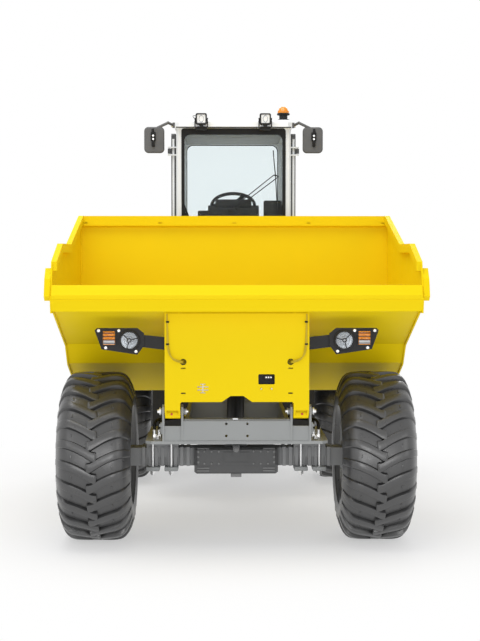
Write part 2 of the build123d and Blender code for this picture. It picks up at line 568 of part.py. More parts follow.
def bonnet_hinge():
    """Two pairs of ears on the firewall, each with its pin; the ear ends are round about the pin."""
    hinge_y, hinge_z = BONNET_HINGE
    end_radius, half = 11, 6
    foot_z = BONNET_TOP_Z - 60
    outline = [(CAB_REAR_Y + 10, foot_z), (CAB_REAR_Y + 10, hinge_z + end_radius),
               (hinge_y, hinge_z + end_radius),
               (hinge_y, hinge_z - end_radius + 2), (CAB_REAR_Y + 30, hinge_z - end_radius + 2),
               (CAB_REAR_Y + 24, foot_z)]
    pieces = []
    for x in BONNET_EARS:
        ear = slab_x(outline, x - half, x + half)
        ear += rod((x - half, hinge_y, hinge_z), (x + half, hinge_y, hinge_z), end_radius)
        pieces += both_sides(ear)
    inner, outer = BONNET_EARS
    return pieces + both_sides(rod((inner, hinge_y, hinge_z), (outer, hinge_y, hinge_z), HINGE_PIN_RADIUS))


def engine():
    """A plain block at the engine's place, on four feet between the frame's side plates."""
    half, foot = 250, 60
    y0, y1 = CAB_REAR_Y + 150, TAIL_Y - WEIGHT_DEPTH - FRAME_PLATE - 20
    low, foot_z = REAR_LOW_Z + 40, REAR_LOW_Z + 100
    pieces = [box(-half, half, y0, y1, low, low + 720)]
    for y in (y0 + 70, y1 - 130):
        pieces += both_sides(box(half, FRAME_X - FRAME_PLATE, y, y + foot, foot_z, foot_z + 40))
    keep("engine_block", fuse(*pieces))


def counterweight():
    """The cast tail weight, with a jaw and an upright bore for a tow pin and a channel above to lift it out."""
    bevel, front_y = 60, TAIL_Y - WEIGHT_DEPTH
    weight = slab_x([(front_y, WEIGHT_LOW_Z), (TAIL_Y, WEIGHT_LOW_Z), (TAIL_Y, DECK_TOP_Z - bevel),
                     (TAIL_Y - bevel / 2, DECK_TOP_Z), (front_y, DECK_TOP_Z)], -WEIGHT_HALF, WEIGHT_HALF)
    weight &= slab_y([(-WEIGHT_HALF + bevel, WEIGHT_LOW_Z), (WEIGHT_HALF - bevel, WEIGHT_LOW_Z),
                      (WEIGHT_HALF, WEIGHT_LOW_Z + bevel), (WEIGHT_HALF, DECK_TOP_Z),
                      (-WEIGHT_HALF, DECK_TOP_Z),
                      (-WEIGHT_HALF, WEIGHT_LOW_Z + bevel)], front_y, TAIL_Y)
    jaw_half, jaw_depth = 90, 130
    jaw_low, jaw_high, jaw_top = WEIGHT_LOW_Z + 40, WEIGHT_LOW_Z + 130, WEIGHT_LOW_Z + 170
    for low, high in ((jaw_low, jaw_high), (jaw_top, DECK_TOP_Z + 1)):
        weight -= box(-jaw_half, jaw_half, TAIL_Y - jaw_depth, TAIL_Y + 1, low, high)
    pin_y = TAIL_Y - TOW_PIN_BACK
    weight -= rod((0, pin_y, WEIGHT_LOW_Z - 1), (0, pin_y, jaw_top + 1), TOW_PIN_RADIUS)
    keep("counterweight", weight)
    lamp_z, lamp_x = DECK_Z - 150, WEIGHT_HALF - 120
    lamp = box(lamp_x, lamp_x + 100, TAIL_Y, REAR_END_Y, lamp_z, lamp_z + 80)
    keep("tail_lamps", *both_sides(chamfer(lamp.faces().sort_by(Axis.Y)[-1].edges(), 6)))


def side_tanks():
    """Tanks beside the frame that also serve as steps up to the deck."""
    y0, y1, outer, low = REAR_AXLE_Y - 1060, REAR_AXLE_Y - 640, FRAME_X + 315, AXLE_Z - 45.5
    bevel, pocket_depth, pocket_height, margin = 40, 110, 120, 55
    tank = slab_y([(FRAME_X, low), (outer - bevel, low), (outer, low + bevel), (outer, DECK_Z),
                   (FRAME_X, DECK_Z)], y0, y1)
    for z in (low + 90, low + 300):
        tank -= box(outer - pocket_depth, outer + 1, y0 + margin, y1 - margin, z, z + pocket_height)
    keep("side_tanks", *both_sides(tank))


def mudguards():
    clear, sheet, half_length = 60, 8, 150
    inner = TYRE_RADIUS + clear
    outer = inner + sheet
    x0, x1 = TRACK / 2 - TYRE_WIDTH / 2 - 10, TRACK / 2 + TYRE_WIDTH / 2
    ring = tube((x0, REAR_AXLE_Y, AXLE_Z), (x1, REAR_AXLE_Y, AXLE_Z), outer, inner)
    ring &= box(x0, x1, REAR_AXLE_Y - outer - 1, REAR_AXLE_Y + outer + 1, AXLE_Z + 250, AXLE_Z + outer + 1)
    y0, y1, top = REAR_AXLE_Y - half_length, REAR_AXLE_Y + half_length, AXLE_Z + outer
    shelf = box(CAB_HALF, x0 + 4, y0, y1, top - sheet, top) + box(CAB_HALF, CAB_HALF + 12, y0, y1, DECK_Z,
                                                                  top)
    keep("rear_mudguards", *both_sides(fuse(ring, shelf)))


# Cab: base, frame, roof, glass, doors and what is inside
def cab():
    base_rear = CAB_REAR_Y - 12
    base = box(-CAB_HALF, CAB_HALF, CAB_FRONT_Y, base_rear, DECK_TOP_Z, CAB_FLOOR_Z)
    base -= box(-CAB_HALF + BASE_WALL, CAB_HALF - BASE_WALL, CAB_FRONT_Y + BASE_WALL, base_rear - BASE_WALL,
                DECK_TOP_Z - 1, CAB_FLOOR_Z - BASE_WALL)
    keep("cab_base", base)

    frame = box(-CAB_HALF, CAB_HALF, CAB_FRONT_Y, CAB_REAR_Y, CAB_FLOOR_Z, CAB_TOP_Z)
    frame = chamfer(frame.edges().filter_by(Axis.Z), 14)
    frame -= box(-CAB_INNER, CAB_INNER, CAB_FRONT_Y + CAB_WALL, CAB_REAR_Y - CAB_WALL,
                 CAB_FLOOR_Z + BASE_WALL,
                 CAB_TOP_Z + 1)
    frame -= rounded_y(-CAB_INNER, CAB_INNER, WINDOW_LOW_Z, WINDOW_HIGH_Z, WINDOW_CORNER, CAB_FRONT_Y - 1,
                       CAB_REAR_Y + 1)
    frame -= box(-CAB_HALF - 1, CAB_HALF + 1, CAB_FRONT_Y + CAB_WALL, CAB_REAR_Y - CAB_WALL, DOOR_LOW_Z,
                 DOOR_HIGH_Z)
    axis_x, axis_y = DOOR_AXIS
    leaf_half, leaf_thick, pin_half = 36, 10, 30
    for z in HINGE_HEIGHTS:
        for low in (z - leaf_half, z + leaf_half - leaf_thick):
            leaf = box(CAB_HALF - 5, axis_x, axis_y - 14, axis_y + 8, low, low + leaf_thick)
            leaf += rod((axis_x, axis_y, low), (axis_x, axis_y, low + leaf_thick), 14)
            frame += both_sides(leaf)
        frame += both_sides(rod((axis_x, axis_y, z - pin_half), (axis_x, axis_y, z + pin_half),
                                HINGE_PIN_RADIUS))
    keep("cab_frame", frame.clean())

    pane = (-CAB_INNER + SEAT_GAP, CAB_INNER - SEAT_GAP, WINDOW_LOW_Z + SEAT_GAP, WINDOW_HIGH_Z - SEAT_GAP,
            WINDOW_CORNER - SEAT_GAP)
    front_pane, rear_pane = CAB_FRONT_Y + GLASS_INSET, CAB_REAR_Y - GLASS_INSET
    keep("cab_glass", rounded_y(*pane, front_pane, front_pane + GLASS), rounded_y(*pane, rear_pane - GLASS,
                                                                                  rear_pane))

    roof = box(-CAB_HALF - ROOF_OVERHANG, CAB_HALF + ROOF_OVERHANG, ROOF_FRONT_Y, CAB_REAR_Y + 40, CAB_TOP_Z,
               ROOF_TOP_Z)
    roof = chamfer(roof.edges().filter_by(Axis.Z), 35)
    keep("cab_roof", fillet(roof.edges().group_by(Axis.Z)[-1], 25))

    for name, sign in (("left", 1), ("right", -1)):
        door(name, sign)
    cab_inside()
    cab_outside()


def door(name, sign):
    """A glazed door hung on the front pillar; sign is the side it is on."""
    y0, y1 = CAB_FRONT_Y + CAB_WALL + DOOR_GAP, CAB_REAR_Y - CAB_WALL - DOOR_GAP
    z0, z1 = DOOR_LOW_Z + 5, DOOR_HIGH_Z - 5
    inner_x, outer_x = sign * DOOR_INNER_X, sign * DOOR_OUTER_X
    leaf = rounded_x(y0, y1, z0, z1, 30, inner_x, outer_x)
    pane = [y0 + DOOR_FRAME, y1 - DOOR_FRAME, z0 + DOOR_FRAME, z1 - DOOR_FRAME]
    leaf -= rounded_x(*pane, WINDOW_CORNER, inner_x, outer_x)
    axis_x, axis_y = sign * DOOR_AXIS[0], DOOR_AXIS[1]
    knuckle_half, knuckle_radius = 20, 14
    for z in HINGE_HEIGHTS:
        leaf += rod((axis_x, axis_y, z - knuckle_half), (axis_x, axis_y, z + knuckle_half), knuckle_radius)
        leaf += box(sign * (DOOR_OUTER_X - 4), axis_x, axis_y, y0 + 40, z - knuckle_half, z + knuckle_half)
        leaf -= rod((axis_x, axis_y, z - 40), (axis_x, axis_y, z + 40), HINGE_PIN_RADIUS + PIN_CLEARANCE)
    keep(f"door_{name}", leaf.clean())
    middle = (inner_x + outer_x) / 2
    glass = (pane[0] + SEAT_GAP, pane[1] - SEAT_GAP, pane[2] + SEAT_GAP, pane[3] - SEAT_GAP,
             WINDOW_CORNER - SEAT_GAP)
    keep(f"door_{name}_glass", rounded_x(*glass, middle - GLASS / 2, middle + GLASS / 2))


def steering_point(along):
    """A point on the steering column's axis, measured up from the wheel's centre."""
    x, y, z = STEERING_CENTRE
    tilt = math.radians(STEERING_TILT)
    return (x, y + along * math.sin(tilt), z + along * math.cos(tilt))


def cab_inside():
    floor_top = CAB_FLOOR_Z + BASE_WALL
    y0, dash_half = CAB_FRONT_Y + 60, CAB_INNER - 203
    dash_low, dash_top = CAB_FLOOR_Z + 610, CAB_FLOOR_Z + 960
    dash = slab_x([(y0, floor_top), (y0, dash_top - 70), (y0 + 70, dash_top), (y0 + 170, dash_top - 30),
                   (y0 + 170, dash_top - 250), (y0 + 90, dash_low), (y0 + 90, floor_top)], -dash_half,
                  dash_half)
    hub_low, hub_high, hub_radius = -29, 12, 42
    keep("dashboard", fuse(dash, rod(steering_point(-260), steering_point(hub_low - 1), 26)))

    plane = Plane(origin=STEERING_CENTRE, z_dir=Vector(*steering_point(1)) - Vector(*STEERING_CENTRE))
    grip, grip_sides, ring_sides = 14, 6, 32
    grip_turns = [2 * math.pi * i / grip_sides for i in range(grip_sides)]
    ring = faceted_ring([(grip * math.sin(t), STEERING_RADIUS + grip * math.cos(t)) for t in grip_turns],
                        ring_sides)
    wheel = plane * (Rot(0, -90, 0) * ring)
    wheel += rod(steering_point(hub_low), steering_point(hub_high), hub_radius)
    spoke = STEERING_RADIUS - hub_radius + 6
    for turn in (90, 210, 330):
        wheel += plane * (Rot(0, 0, turn) * Pos(STEERING_RADIUS - spoke / 2, 0, 0) * Box(spoke, 34, 10))
    keep("steering_wheel", wheel.clean())

    seat_y, seat_z = CAB_FRONT_Y + 510, CAB_FLOOR_Z + 410
    pedestal = slab_x([(seat_y + 90, floor_top), (seat_y + 130, seat_z), (seat_y + 370, seat_z),
                       (seat_y + 410, floor_top)], -170, 170)
    cushion = chamfer(box(-250, 250, seat_y, seat_y + 470, seat_z, seat_z + 120).edges().filter_by(Axis.Z),
                      40)
    back = chamfer(box(-240, 240, seat_y + 450, seat_y + 550, seat_z + 120,
                       seat_z + 480).edges().filter_by(Axis.Y), 50)
    keep("operator_seat", fuse(pedestal, cushion, back))

    screen_x, screen_y, screen_z = CAB_INNER - 163, CAB_FRONT_Y + 105, CAB_FLOOR_Z + 850
    screen = rounded_y(screen_x, screen_x + 150, screen_z, screen_z + 150, 14, screen_y, screen_y + 40)
    stalk = box(screen_x + 50, screen_x + 80, screen_y + 10, screen_y + 30, screen_z - 170, screen_z)
    shelf = box(dash_half, screen_x + 90, screen_y, screen_y + 40, screen_z - 190, screen_z - 170)
    keep("display", fuse(screen, stalk, shelf))


def cab_outside():
    lamps_on_roof = []
    lamp_low, lamp_half, lamp_y = CAB_TOP_Z + 20, 46, ROOF_FRONT_Y - 72
    for x in (-262, 256):
        body = rounded_y(x - lamp_half, x + lamp_half, lamp_low, lamp_low + 92, 14, lamp_y + 12, lamp_y + 54)
        body = chamfer(body.faces().sort_by(Axis.Y)[-1].edges(), 12)
        bezel = rounded_y(x - lamp_half + 4, x + lamp_half - 4, lamp_low + 4, lamp_low + 88, 12, lamp_y,
                          lamp_y + 12)
        foot = box(x - 16, x + 16, lamp_y + 22, lamp_y + 44, lamp_low - 14, lamp_low)
        bracket = box(x - 32, x + 32, lamp_y + 18, ROOF_FRONT_Y - SEAT_GAP, lamp_low - 20, lamp_low - 14)
        lamps_on_roof.append(fuse(body, bezel, foot, bracket))
    keep("work_lamps", *lamps_on_roof)

    place = Pos(CAB_HALF - 57, CAB_FRONT_Y + 90, ROOF_TOP_Z) * Rot(0, -90, 0)
    base_height, dome_height = 62, 58
    keep("beacon_base", place * turned([(0, 0), (0, 50), (12, 50), (18, 34), (44, 34), (50, 50),
                                        (base_height, 50), (base_height, 0)]))
    dome = ((0, 46), (22, 44), (44, 34), (54, 20), (dome_height, 0))
    keep("beacon_dome", place * turned([(base_height, 0)] + [(base_height + z, radius) for z, radius in dome]))

    arm_y, arm_z, arm_radius = CAB_FRONT_Y - 40, CAB_TOP_Z + 36, 11
    roof_side = CAB_HALF + ROOF_OVERHANG
    foot = box(roof_side, roof_side + 20, CAB_FRONT_Y + 10, CAB_FRONT_Y + 46, arm_z - 30, arm_z + 12)
    elbow = (roof_side + 50, arm_y, arm_z + 6)
    arm = rod((roof_side + 16, CAB_FRONT_Y + 30, arm_z - 8), (elbow[0] + 6, arm_y, elbow[2]), arm_radius)
    arm += rod((elbow[0] - 4, arm_y, elbow[2] + 2), (roof_side + 190, arm_y, arm_z - 60), arm_radius)
    head = rounded_y(CAB_HALF + 95, CAB_HALF + 257, arm_z - 240, arm_z - 31, 34, arm_y - 15, arm_y + 25)
    head = chamfer(head.faces().sort_by(Axis.Y)[0].edges(), 9)
    keep("mirrors", *both_sides(fuse(foot, arm, head)))

    wiper_y, pane_y = CAB_FRONT_Y - 4, CAB_FRONT_Y + GLASS_INSET
    blade_x, hub_z, joint_z = CAB_INNER - 68, CAB_FLOOR_Z + 900, CAB_FLOOR_Z + 1180
    blade = box(blade_x, blade_x + 12, wiper_y, pane_y, hub_z - 30, hub_z + 490)
    arms = slab_y([(-40, hub_z - 10), (-40, hub_z + 20), (blade_x, joint_z + 20), (blade_x, joint_z - 10)],
                  wiper_y, wiper_y + 10)
    keep("wiper", fuse(blade, arms, rod((-30, wiper_y, hub_z), (-30, pane_y, hub_z), 22)))


# Bonnet: a bevelled sheet hood with louvres pressed into its sides and a grille in its rear face
def hood(inset, low, front_y):
    """The hood's outer form, or its inner one when inset by the sheet."""
    knee_y, knee_z, rear_y = BONNET_FRONT_Y + 610, BONNET_TOP_Z - 30, BONNET_REAR_Y - inset
    half, top, bevel = BONNET_HALF - inset, BONNET_TOP_Z - inset, BONNET_BEVEL
    form = slab_x([(front_y, low), (front_y, top), (knee_y - inset / 2, knee_z - inset),
                   (rear_y, BONNET_TOP_Z - 220 - inset), (rear_y, low)], -half, half)
    return form & slab_y([(-half, low), (-half, top - bevel), (-half + bevel, top), (half - bevel, top),
                          (half, top - bevel), (half, low)], front_y, rear_y)


def bonnet():
    low = DECK_TOP_Z + 6
    shell = hood(0, low, BONNET_FRONT_Y) - hood(BONNET_SHEET, low - 1, BONNET_FRONT_Y - 1)
    depth, slot_height, slot_pitch = BONNET_SHEET / 2, 14, 34
    side_y0, side_y1 = BONNET_FRONT_Y + 330, BONNET_REAR_Y - 120
    for i in range(7):
        z = low + 130 + i * slot_pitch
        shell -= both_sides(box(BONNET_HALF - depth, BONNET_HALF + 1, side_y0, side_y1, z, z + slot_height))
        shell -= box(-BONNET_HALF + 140, BONNET_HALF - 140, BONNET_REAR_Y - depth, BONNET_REAR_Y + 1, z,
                     z + slot_height)
    hinge_y, hinge_z = BONNET_HINGE
    inner, outer = BONNET_EARS
    x0, x1 = inner + 10, outer - 10
    for sign in (1, -1):
        shell += box(sign * x0, sign * x1, hinge_y - 10, hinge_y + 40, BONNET_TOP_Z - 8, hinge_z)
        shell += rod((sign * x0, hinge_y, hinge_z), (sign * x1, hinge_y, hinge_z), 14)
        shell -= rod((sign * inner, hinge_y, hinge_z), (sign * outer, hinge_y, hinge_z),
                     HINGE_PIN_RADIUS + PIN_CLEARANCE)
    keep("bonnet", shell.clean())


# Rams: each barrel turns on its own pin and its rod slides in it
def ram(base, eye, across, barrel, rod_radius, pins, reach):
    """Barrel and rod between two pins. across is half of the eyes' length along the pin, barrel the barrel's
    radius, pins the pin radii at base and eye, reach the places of bottom, rod end and mouth along the axis."""
    axis = (eye - base).normalized()
    bottom, rod_end, mouth_at = reach
    mouth, gland = base + axis * mouth_at, 36
    base_pin, eye_pin = pins
    body = rod(base + axis * (bottom - 35), mouth - axis * gland, barrel) + rod(mouth - axis * gland, mouth,
                                                                                barrel - 5)
    body += rod(base - across, base + across, base_pin * 2.2)
    body -= rod(base - across * 2, base + across * 2, base_pin + PIN_CLEARANCE)
    body -= rod(base + axis * bottom, mouth + axis, rod_radius + PIN_CLEARANCE)
    piston = rod(base + axis * rod_end, eye - axis * 20, rod_radius)
    eye_across = across * 0.83
    piston += rod(eye - eye_across, eye + eye_across, eye_pin * 1.9)
    piston -= rod(eye - eye_across * 2, eye + eye_across * 2, eye_pin)
    return body.clean(), piston.clean()


def rams():
    foot = Vector(0, FRONT_AXLE_Y + TIP_BASE[0], TIP_BASE[1])
    eye = Vector(0, FRONT_AXLE_Y + TIP_EYE[0], TIP_EYE[1])
    barrel, piston = ram(foot, eye, Vector(60, 0, 0), TIP_BARREL_RADIUS, TIP_ROD_RADIUS,
                         (TIP_FOOT_PIN_RADIUS, TIP_EYE_PIN_RADIUS), (75, 85, 650))
    keep("tip_barrel", barrel)
    keep("tip_rod", piston)
    for name, sign in (("left", 1), ("right", -1)):
        foot = Vector(sign * STEER_BASE[0], PIVOT_Y + STEER_BASE[1], STEER_Z)
        eye = Vector(sign * STEER_EYE[0], PIVOT_Y + STEER_EYE[1], STEER_Z)
        barrel, piston = ram(foot, eye, Vector(0, 0, 24), STEER_BARREL_RADIUS, STEER_ROD_RADIUS,
                             (STEER_PIN_RADIUS, STEER_PIN_RADIUS), (60, 210, 420))
        keep(f"steer_barrel_{name}", barrel)
        keep(f"steer_rod_{name}", piston)


# Wheels: a lugged tyre on a dished rim, at the four corners
WHEELS = (("front_left", 1, FRONT_AXLE_Y), ("front_right", -1, FRONT_AXLE_Y),
          ("rear_left", 1, REAR_AXLE_Y), ("rear_right", -1, REAR_AXLE_Y))


def lug(sign, middle):
    """One lug, from its inner end past the middle out to the shoulder; middle is its angle in degrees."""
    pitch_arc = 2 * math.pi * TYRE_RADIUS / LUG_COUNT
    foot = TYRE_RADIUS - LUG_DEPTH * 1.6
    stations = (
        # place across, drop of the tip below the tyre's radius, share of the sweep, half width
        (-LUG_OVERLAP, 0, -0.57, pitch_arc * 0.14),
        (TYRE_WIDTH / 2 - 25, CROWN_DROP, 0.57, pitch_arc * 0.25))
    turn = math.radians(middle)
    up, along = (-math.cos(turn), math.sin(turn)), (math.sin(turn), math.cos(turn))
    sections = []
    for x, drop, share, half in stations:
        offset = TYRE_RADIUS * math.sin(math.radians(LUG_SWEEP * share))
        tip = math.sqrt((TYRE_RADIUS - drop) ** 2 - (abs(offset) + half) ** 2)
        corners = ((tip, offset - half), (tip, offset + half), (foot, offset + half), (foot, offset - half))
        sections.append([(sign * x, r * up[0] + s * along[0], r * up[1] + s * along[1]) for r, s in corners])
    return skinned(sections)


def tyre():
    half, bead = TYRE_WIDTH / 2, RIM_RADIUS / math.cos(math.pi / LUG_COUNT)
    side = [(half - 41.5, bead), (half, TYRE_RADIUS - 130), (half - 17, TYRE_RADIUS - LUG_DEPTH)]
    carcass = faceted_ring([(-x, r) for x, r in side] + side[::-1], LUG_COUNT)
    pitch = 360 / LUG_COUNT
    lugs = [lug(1, i * pitch) for i in range(LUG_COUNT)]
    lugs += [lug(-1, (i + 0.5) * pitch) for i in range(LUG_COUNT)]
    return carcass.fuse(*lugs)


def rim():
    seat, barrel_half, barrel_wall = RIM_RADIUS - SEAT_GAP, 205, 16
    face_x = HUB_X - TRACK / 2 + SEAT_GAP
    dish, plate = 55, 16
    barrel = turned([(-barrel_half, seat - barrel_wall), (-barrel_half, seat), (barrel_half, seat),
                     (barrel_half, seat - barrel_wall)])
    disc = turned([(face_x, 0), (face_x, 140), (face_x + dish, 175), (face_x + dish, seat - 5),
                   (face_x + dish + plate, seat - 5), (face_x + dish + plate, 168), (face_x + plate, 133),
                   (face_x + plate, 0)])
    cap = turned([(face_x + plate, 0), (face_x + plate, 112), (face_x + 52, 104), (face_x + 66, 78),
                  (face_x + 66, 0)])
    shape = fuse(barrel, disc, cap)
    hole_count, hole_radius, hole_circle = 8, 22, 226
    for i in range(hole_count):
        turn = 2 * math.pi * i / hole_count
        y, z = hole_circle * math.cos(turn), hole_circle * math.sin(turn)
        shape -= rod((face_x - 1, y, z), (face_x + dish + plate + 1, y, z), hole_radius)
    return shape


def wheels():
    tyre_shape, rim_shape = tyre(), rim()
    for name, sign, y in WHEELS:
        place = Pos(sign * TRACK / 2, y, AXLE_Z)
        keep(f"tyre_{name}", place * tyre_shape)
        keep(f"rim_{name}", place * (rim_shape if sign > 0 else mirror(rim_shape, about=Plane.YZ)))


def main():
    skip()
    front_frame()
    rear_frame()
    cab()
    bonnet()
    rams()
    wheels()
    os.makedirs("parts", exist_ok=True)
    for name, shape in nodes.items():
        export_step(shape, f"parts/{name}.step")
    print(len(nodes), "nodes")


main()
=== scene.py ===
import math

import bmesh
import bpy
from mathutils import Matrix, Vector


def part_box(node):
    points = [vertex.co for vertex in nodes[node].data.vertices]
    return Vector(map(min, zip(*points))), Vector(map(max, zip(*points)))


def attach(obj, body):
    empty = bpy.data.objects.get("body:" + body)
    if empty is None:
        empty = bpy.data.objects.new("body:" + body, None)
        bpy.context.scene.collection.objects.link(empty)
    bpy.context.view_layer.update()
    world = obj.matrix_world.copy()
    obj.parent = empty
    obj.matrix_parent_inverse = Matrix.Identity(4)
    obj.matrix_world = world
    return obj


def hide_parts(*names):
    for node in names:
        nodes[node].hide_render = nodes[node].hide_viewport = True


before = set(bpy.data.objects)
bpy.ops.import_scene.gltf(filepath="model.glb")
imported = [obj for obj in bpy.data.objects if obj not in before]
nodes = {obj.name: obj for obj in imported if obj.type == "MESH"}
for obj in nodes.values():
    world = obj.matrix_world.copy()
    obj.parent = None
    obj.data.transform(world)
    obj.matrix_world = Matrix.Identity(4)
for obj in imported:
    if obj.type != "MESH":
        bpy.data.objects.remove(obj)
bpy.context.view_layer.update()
print("frame loaded:", len(nodes), "nodes")


# Shader maths: a wire is one output socket, and sums of wires become Math nodes
class Wire:
    def __init__(self, tree, socket=None):
        self.tree = tree
        self.socket = socket

    def node(self, kind, settings=None, sockets=None, out=0):
        made = self.tree.nodes.new(kind)
        for name, value in (settings or {}).items():
            if name == "stops":
                self.setStops(made.color_ramp, value)
            else:
                setattr(made, name, value)
        for key, value in (sockets or {}).items():
            if isinstance(value, Wire):
                self.tree.links.new(value.socket, made.inputs[key])
            else:
                made.inputs[key].default_value = value
        return Wire(self.tree, made.outputs[out])

    def setStops(self, ramp, stops):
        while len(ramp.elements) < len(stops):
            ramp.elements.new(0.5)
        for element, (place, colour) in zip(ramp.elements, stops):
            element.position = place
            element.color = (*colour, 1) if len(colour) == 3 else colour

    def maths(self, operation, first, second):
        return self.node("ShaderNodeMath", {"operation": operation}, {0: first, 1: second})

    def __add__(self, other):
        return self.maths("ADD", self, other)

    def __radd__(self, other):
        return self.maths("ADD", other, self)

    def __sub__(self, other):
        return self.maths("SUBTRACT", self, other)

    def __rsub__(self, other):
        return self.maths("SUBTRACT", other, self)

    def __mul__(self, other):
        return self.maths("MULTIPLY", self, other)

    def __rmul__(self, other):
        return self.maths("MULTIPLY", other, self)

    def __truediv__(self, other):
        return self.maths("DIVIDE", self, other)

    def __pow__(self, other):
        return self.maths("POWER", self, other)


def mixColour(wire, factor, first, second):
    return wire.node("ShaderNodeMix", {"data_type": "RGBA"}, {0: factor, 6: first, 7: second}, out=2)


def objectPlace(wire):
    return wire.node("ShaderNodeTexCoord", out="Object")


def noise(wire, place, scale, detail=2.0, rough=0.5):
    return wire.node("ShaderNodeTexNoise", None, {"Vector": place, "Scale": scale, "Detail": detail, "Roughness": rough})


def bump(wire, height, strength, distance):
    return wire.node("ShaderNodeBump", None, {"Height": height, "Strength": strength, "Distance": distance})


def startMaterial(name, colour):
    made = bpy.data.materials.new(name)
    made.use_nodes = True
    made.diffuse_color = (*colour, 1)
    shader = made.node_tree.nodes["Principled BSDF"]
    shader.inputs["Base Color"].default_value = (*colour, 1)
    return made, shader, Wire(made.node_tree)


def plug(wire, shader, **inputs):
    for key, value in inputs.items():
        wire.tree.links.new(value.socket, shader.inputs[key.replace("_", " ")])


def toned(colour, share):
    return (*[min(1.0, channel * share) for channel in colour], 1)


# Sprayed paint: orange peel, a slow drift of tone and a coat of lacquer
def sprayedPaint(name, look):
    made, shader, wire = startMaterial(name, look["colour"])
    place = objectPlace(wire)
    drift = noise(wire, place, look["driftScale"], 3.0)
    peel = noise(wire, place, look["peelScale"], 1.0)
    dust = noise(wire, place, look["dustScale"], 6.0, 0.65)
    colour = mixColour(wire, drift, toned(look["colour"], 1 - look["drift"]), toned(look["colour"], 1 + look["drift"]))
    rough = look["rough"] + (dust - 0.5) * look["roughSpread"]
    plug(wire, shader, Base_Color=colour, Roughness=rough, Normal=bump(wire, peel, look["peel"], 0.0006))
    shader.inputs["Coat Weight"].default_value = look["coat"]
    shader.inputs["Coat Roughness"].default_value = 0.12
    shader.inputs["Specular IOR Level"].default_value = look["shine"]
    return made


skipYellowLook = {"colour": (0.82, 0.606, 0.004), "driftScale": 1.3, "drift": 0.035, "peelScale": 420.0, "peel": 0.05,
                  "dustScale": 9.0, "rough": 0.50, "roughSpread": 0.14, "coat": 0.0, "shine": 0.07}
bonnetYellowLook = {**skipYellowLook, "driftScale": 2.0, "rough": 0.32, "shine": 0.3}
frameGreyLook = {"colour": (0.27, 0.28, 0.28), "driftScale": 3.0, "drift": 0.06, "peelScale": 380.0, "peel": 0.08,
                 "dustScale": 14.0, "rough": 0.46, "roughSpread": 0.18, "coat": 0.08, "shine": 0.4}
frameDarkLook = {**frameGreyLook, "colour": (0.028, 0.029, 0.030), "drift": 0.12}
cabGreyLook = {"colour": (0.71, 0.73, 0.75), "driftScale": 2.0, "drift": 0.03, "peelScale": 460.0, "peel": 0.05,
               "dustScale": 11.0, "rough": 0.38, "roughSpread": 0.12, "coat": 0.15, "shine": 0.5}
roofLook = {**cabGreyLook, "colour": (0.84, 0.86, 0.88)}
doorLook = {**cabGreyLook, "colour": (0.035, 0.036, 0.037), "rough": 0.35}
rimLook = {**cabGreyLook, "colour": (0.46, 0.47, 0.48), "rough": 0.42}
blackPaintLook = {"colour": (0.018, 0.018, 0.019), "driftScale": 4.0, "drift": 0.2, "peelScale": 420.0, "peel": 0.07,
                  "dustScale": 18.0, "rough": 0.40, "roughSpread": 0.2, "coat": 0.0, "shine": 0.16}


# Castings: sand grain, pits and a thin grey finish that drifts in tone
def casting(name, look):
    made, shader, wire = startMaterial(name, look["colour"])
    place = objectPlace(wire)
    grain = noise(wire, place, look["grainScale"], 4.0, 0.6)
    pits = wire.node("ShaderNodeTexVoronoi", None, {"Vector": place, "Scale": look["pitScale"]})
    film = noise(wire, place, 5.0, 5.0, 0.6)
    colour = mixColour(wire, film, toned(look["colour"], 0.72), toned(look["colour"], 1.3))
    height = grain * 0.7 + pits * 0.5
    # Painted light: on the axles the colour is made lighter beyond a set distance from the middle, standing in for
    # light falling on the outer ribs
    if look["paintedLightFrom"]:
        across = wire.node("ShaderNodeSeparateXYZ", None, {0: place})
        reach = wire.node("ShaderNodeMath", {"operation": "ABSOLUTE"}, {0: across})
        ends = wire.node("ShaderNodeMapRange", None, {0: reach, 1: look["paintedLightFrom"], 2: look["paintedLightFrom"] + 0.02})
        colour = mixColour(wire, ends, colour, toned(look["colour"], look["paintedLightShare"]))
    plug(wire, shader, Base_Color=colour, Roughness=0.5 + film * 0.25, Normal=bump(wire, height, look["bump"], 0.0015))
    return made


castGreyLook = {"colour": (0.086, 0.087, 0.088), "grainScale": 160.0, "pitScale": 90.0, "bump": 0.35,
                "paintedLightFrom": 0.0, "paintedLightShare": 1.0}
# The axle ends from 0.29 m out carry painted light, 2.6 times the casting colour
axleLitEndsLook = {**castGreyLook, "paintedLightFrom": 0.290, "paintedLightShare": 2.6}
castPaleLook = {**castGreyLook, "colour": (0.20, 0.20, 0.20)}
castDarkLook = {**castGreyLook, "colour": (0.04, 0.04, 0.041)}


# Moulded plastic: leather-like grain from cells, with tone and shine that vary in patches
def grainedPlastic(name, look):
    made, shader, wire = startMaterial(name, look["colour"])
    place = objectPlace(wire)
    cells = wire.node("ShaderNodeTexVoronoi", {"feature": "SMOOTH_F1"}, {"Vector": place, "Scale": look["cellScale"]})
    shade = noise(wire, place, 7.0, 4.0, 0.6)
    colour = mixColour(wire, shade, toned(look["colour"], 0.8), toned(look["colour"], 1.25))
    rough = look["rough"] + (shade - 0.5) * 0.2
    plug(wire, shader, Base_Color=colour, Roughness=rough, Normal=bump(wire, cells, look["bump"], 0.0008))
    shader.inputs["Specular IOR Level"].default_value = look["shine"]
    return made


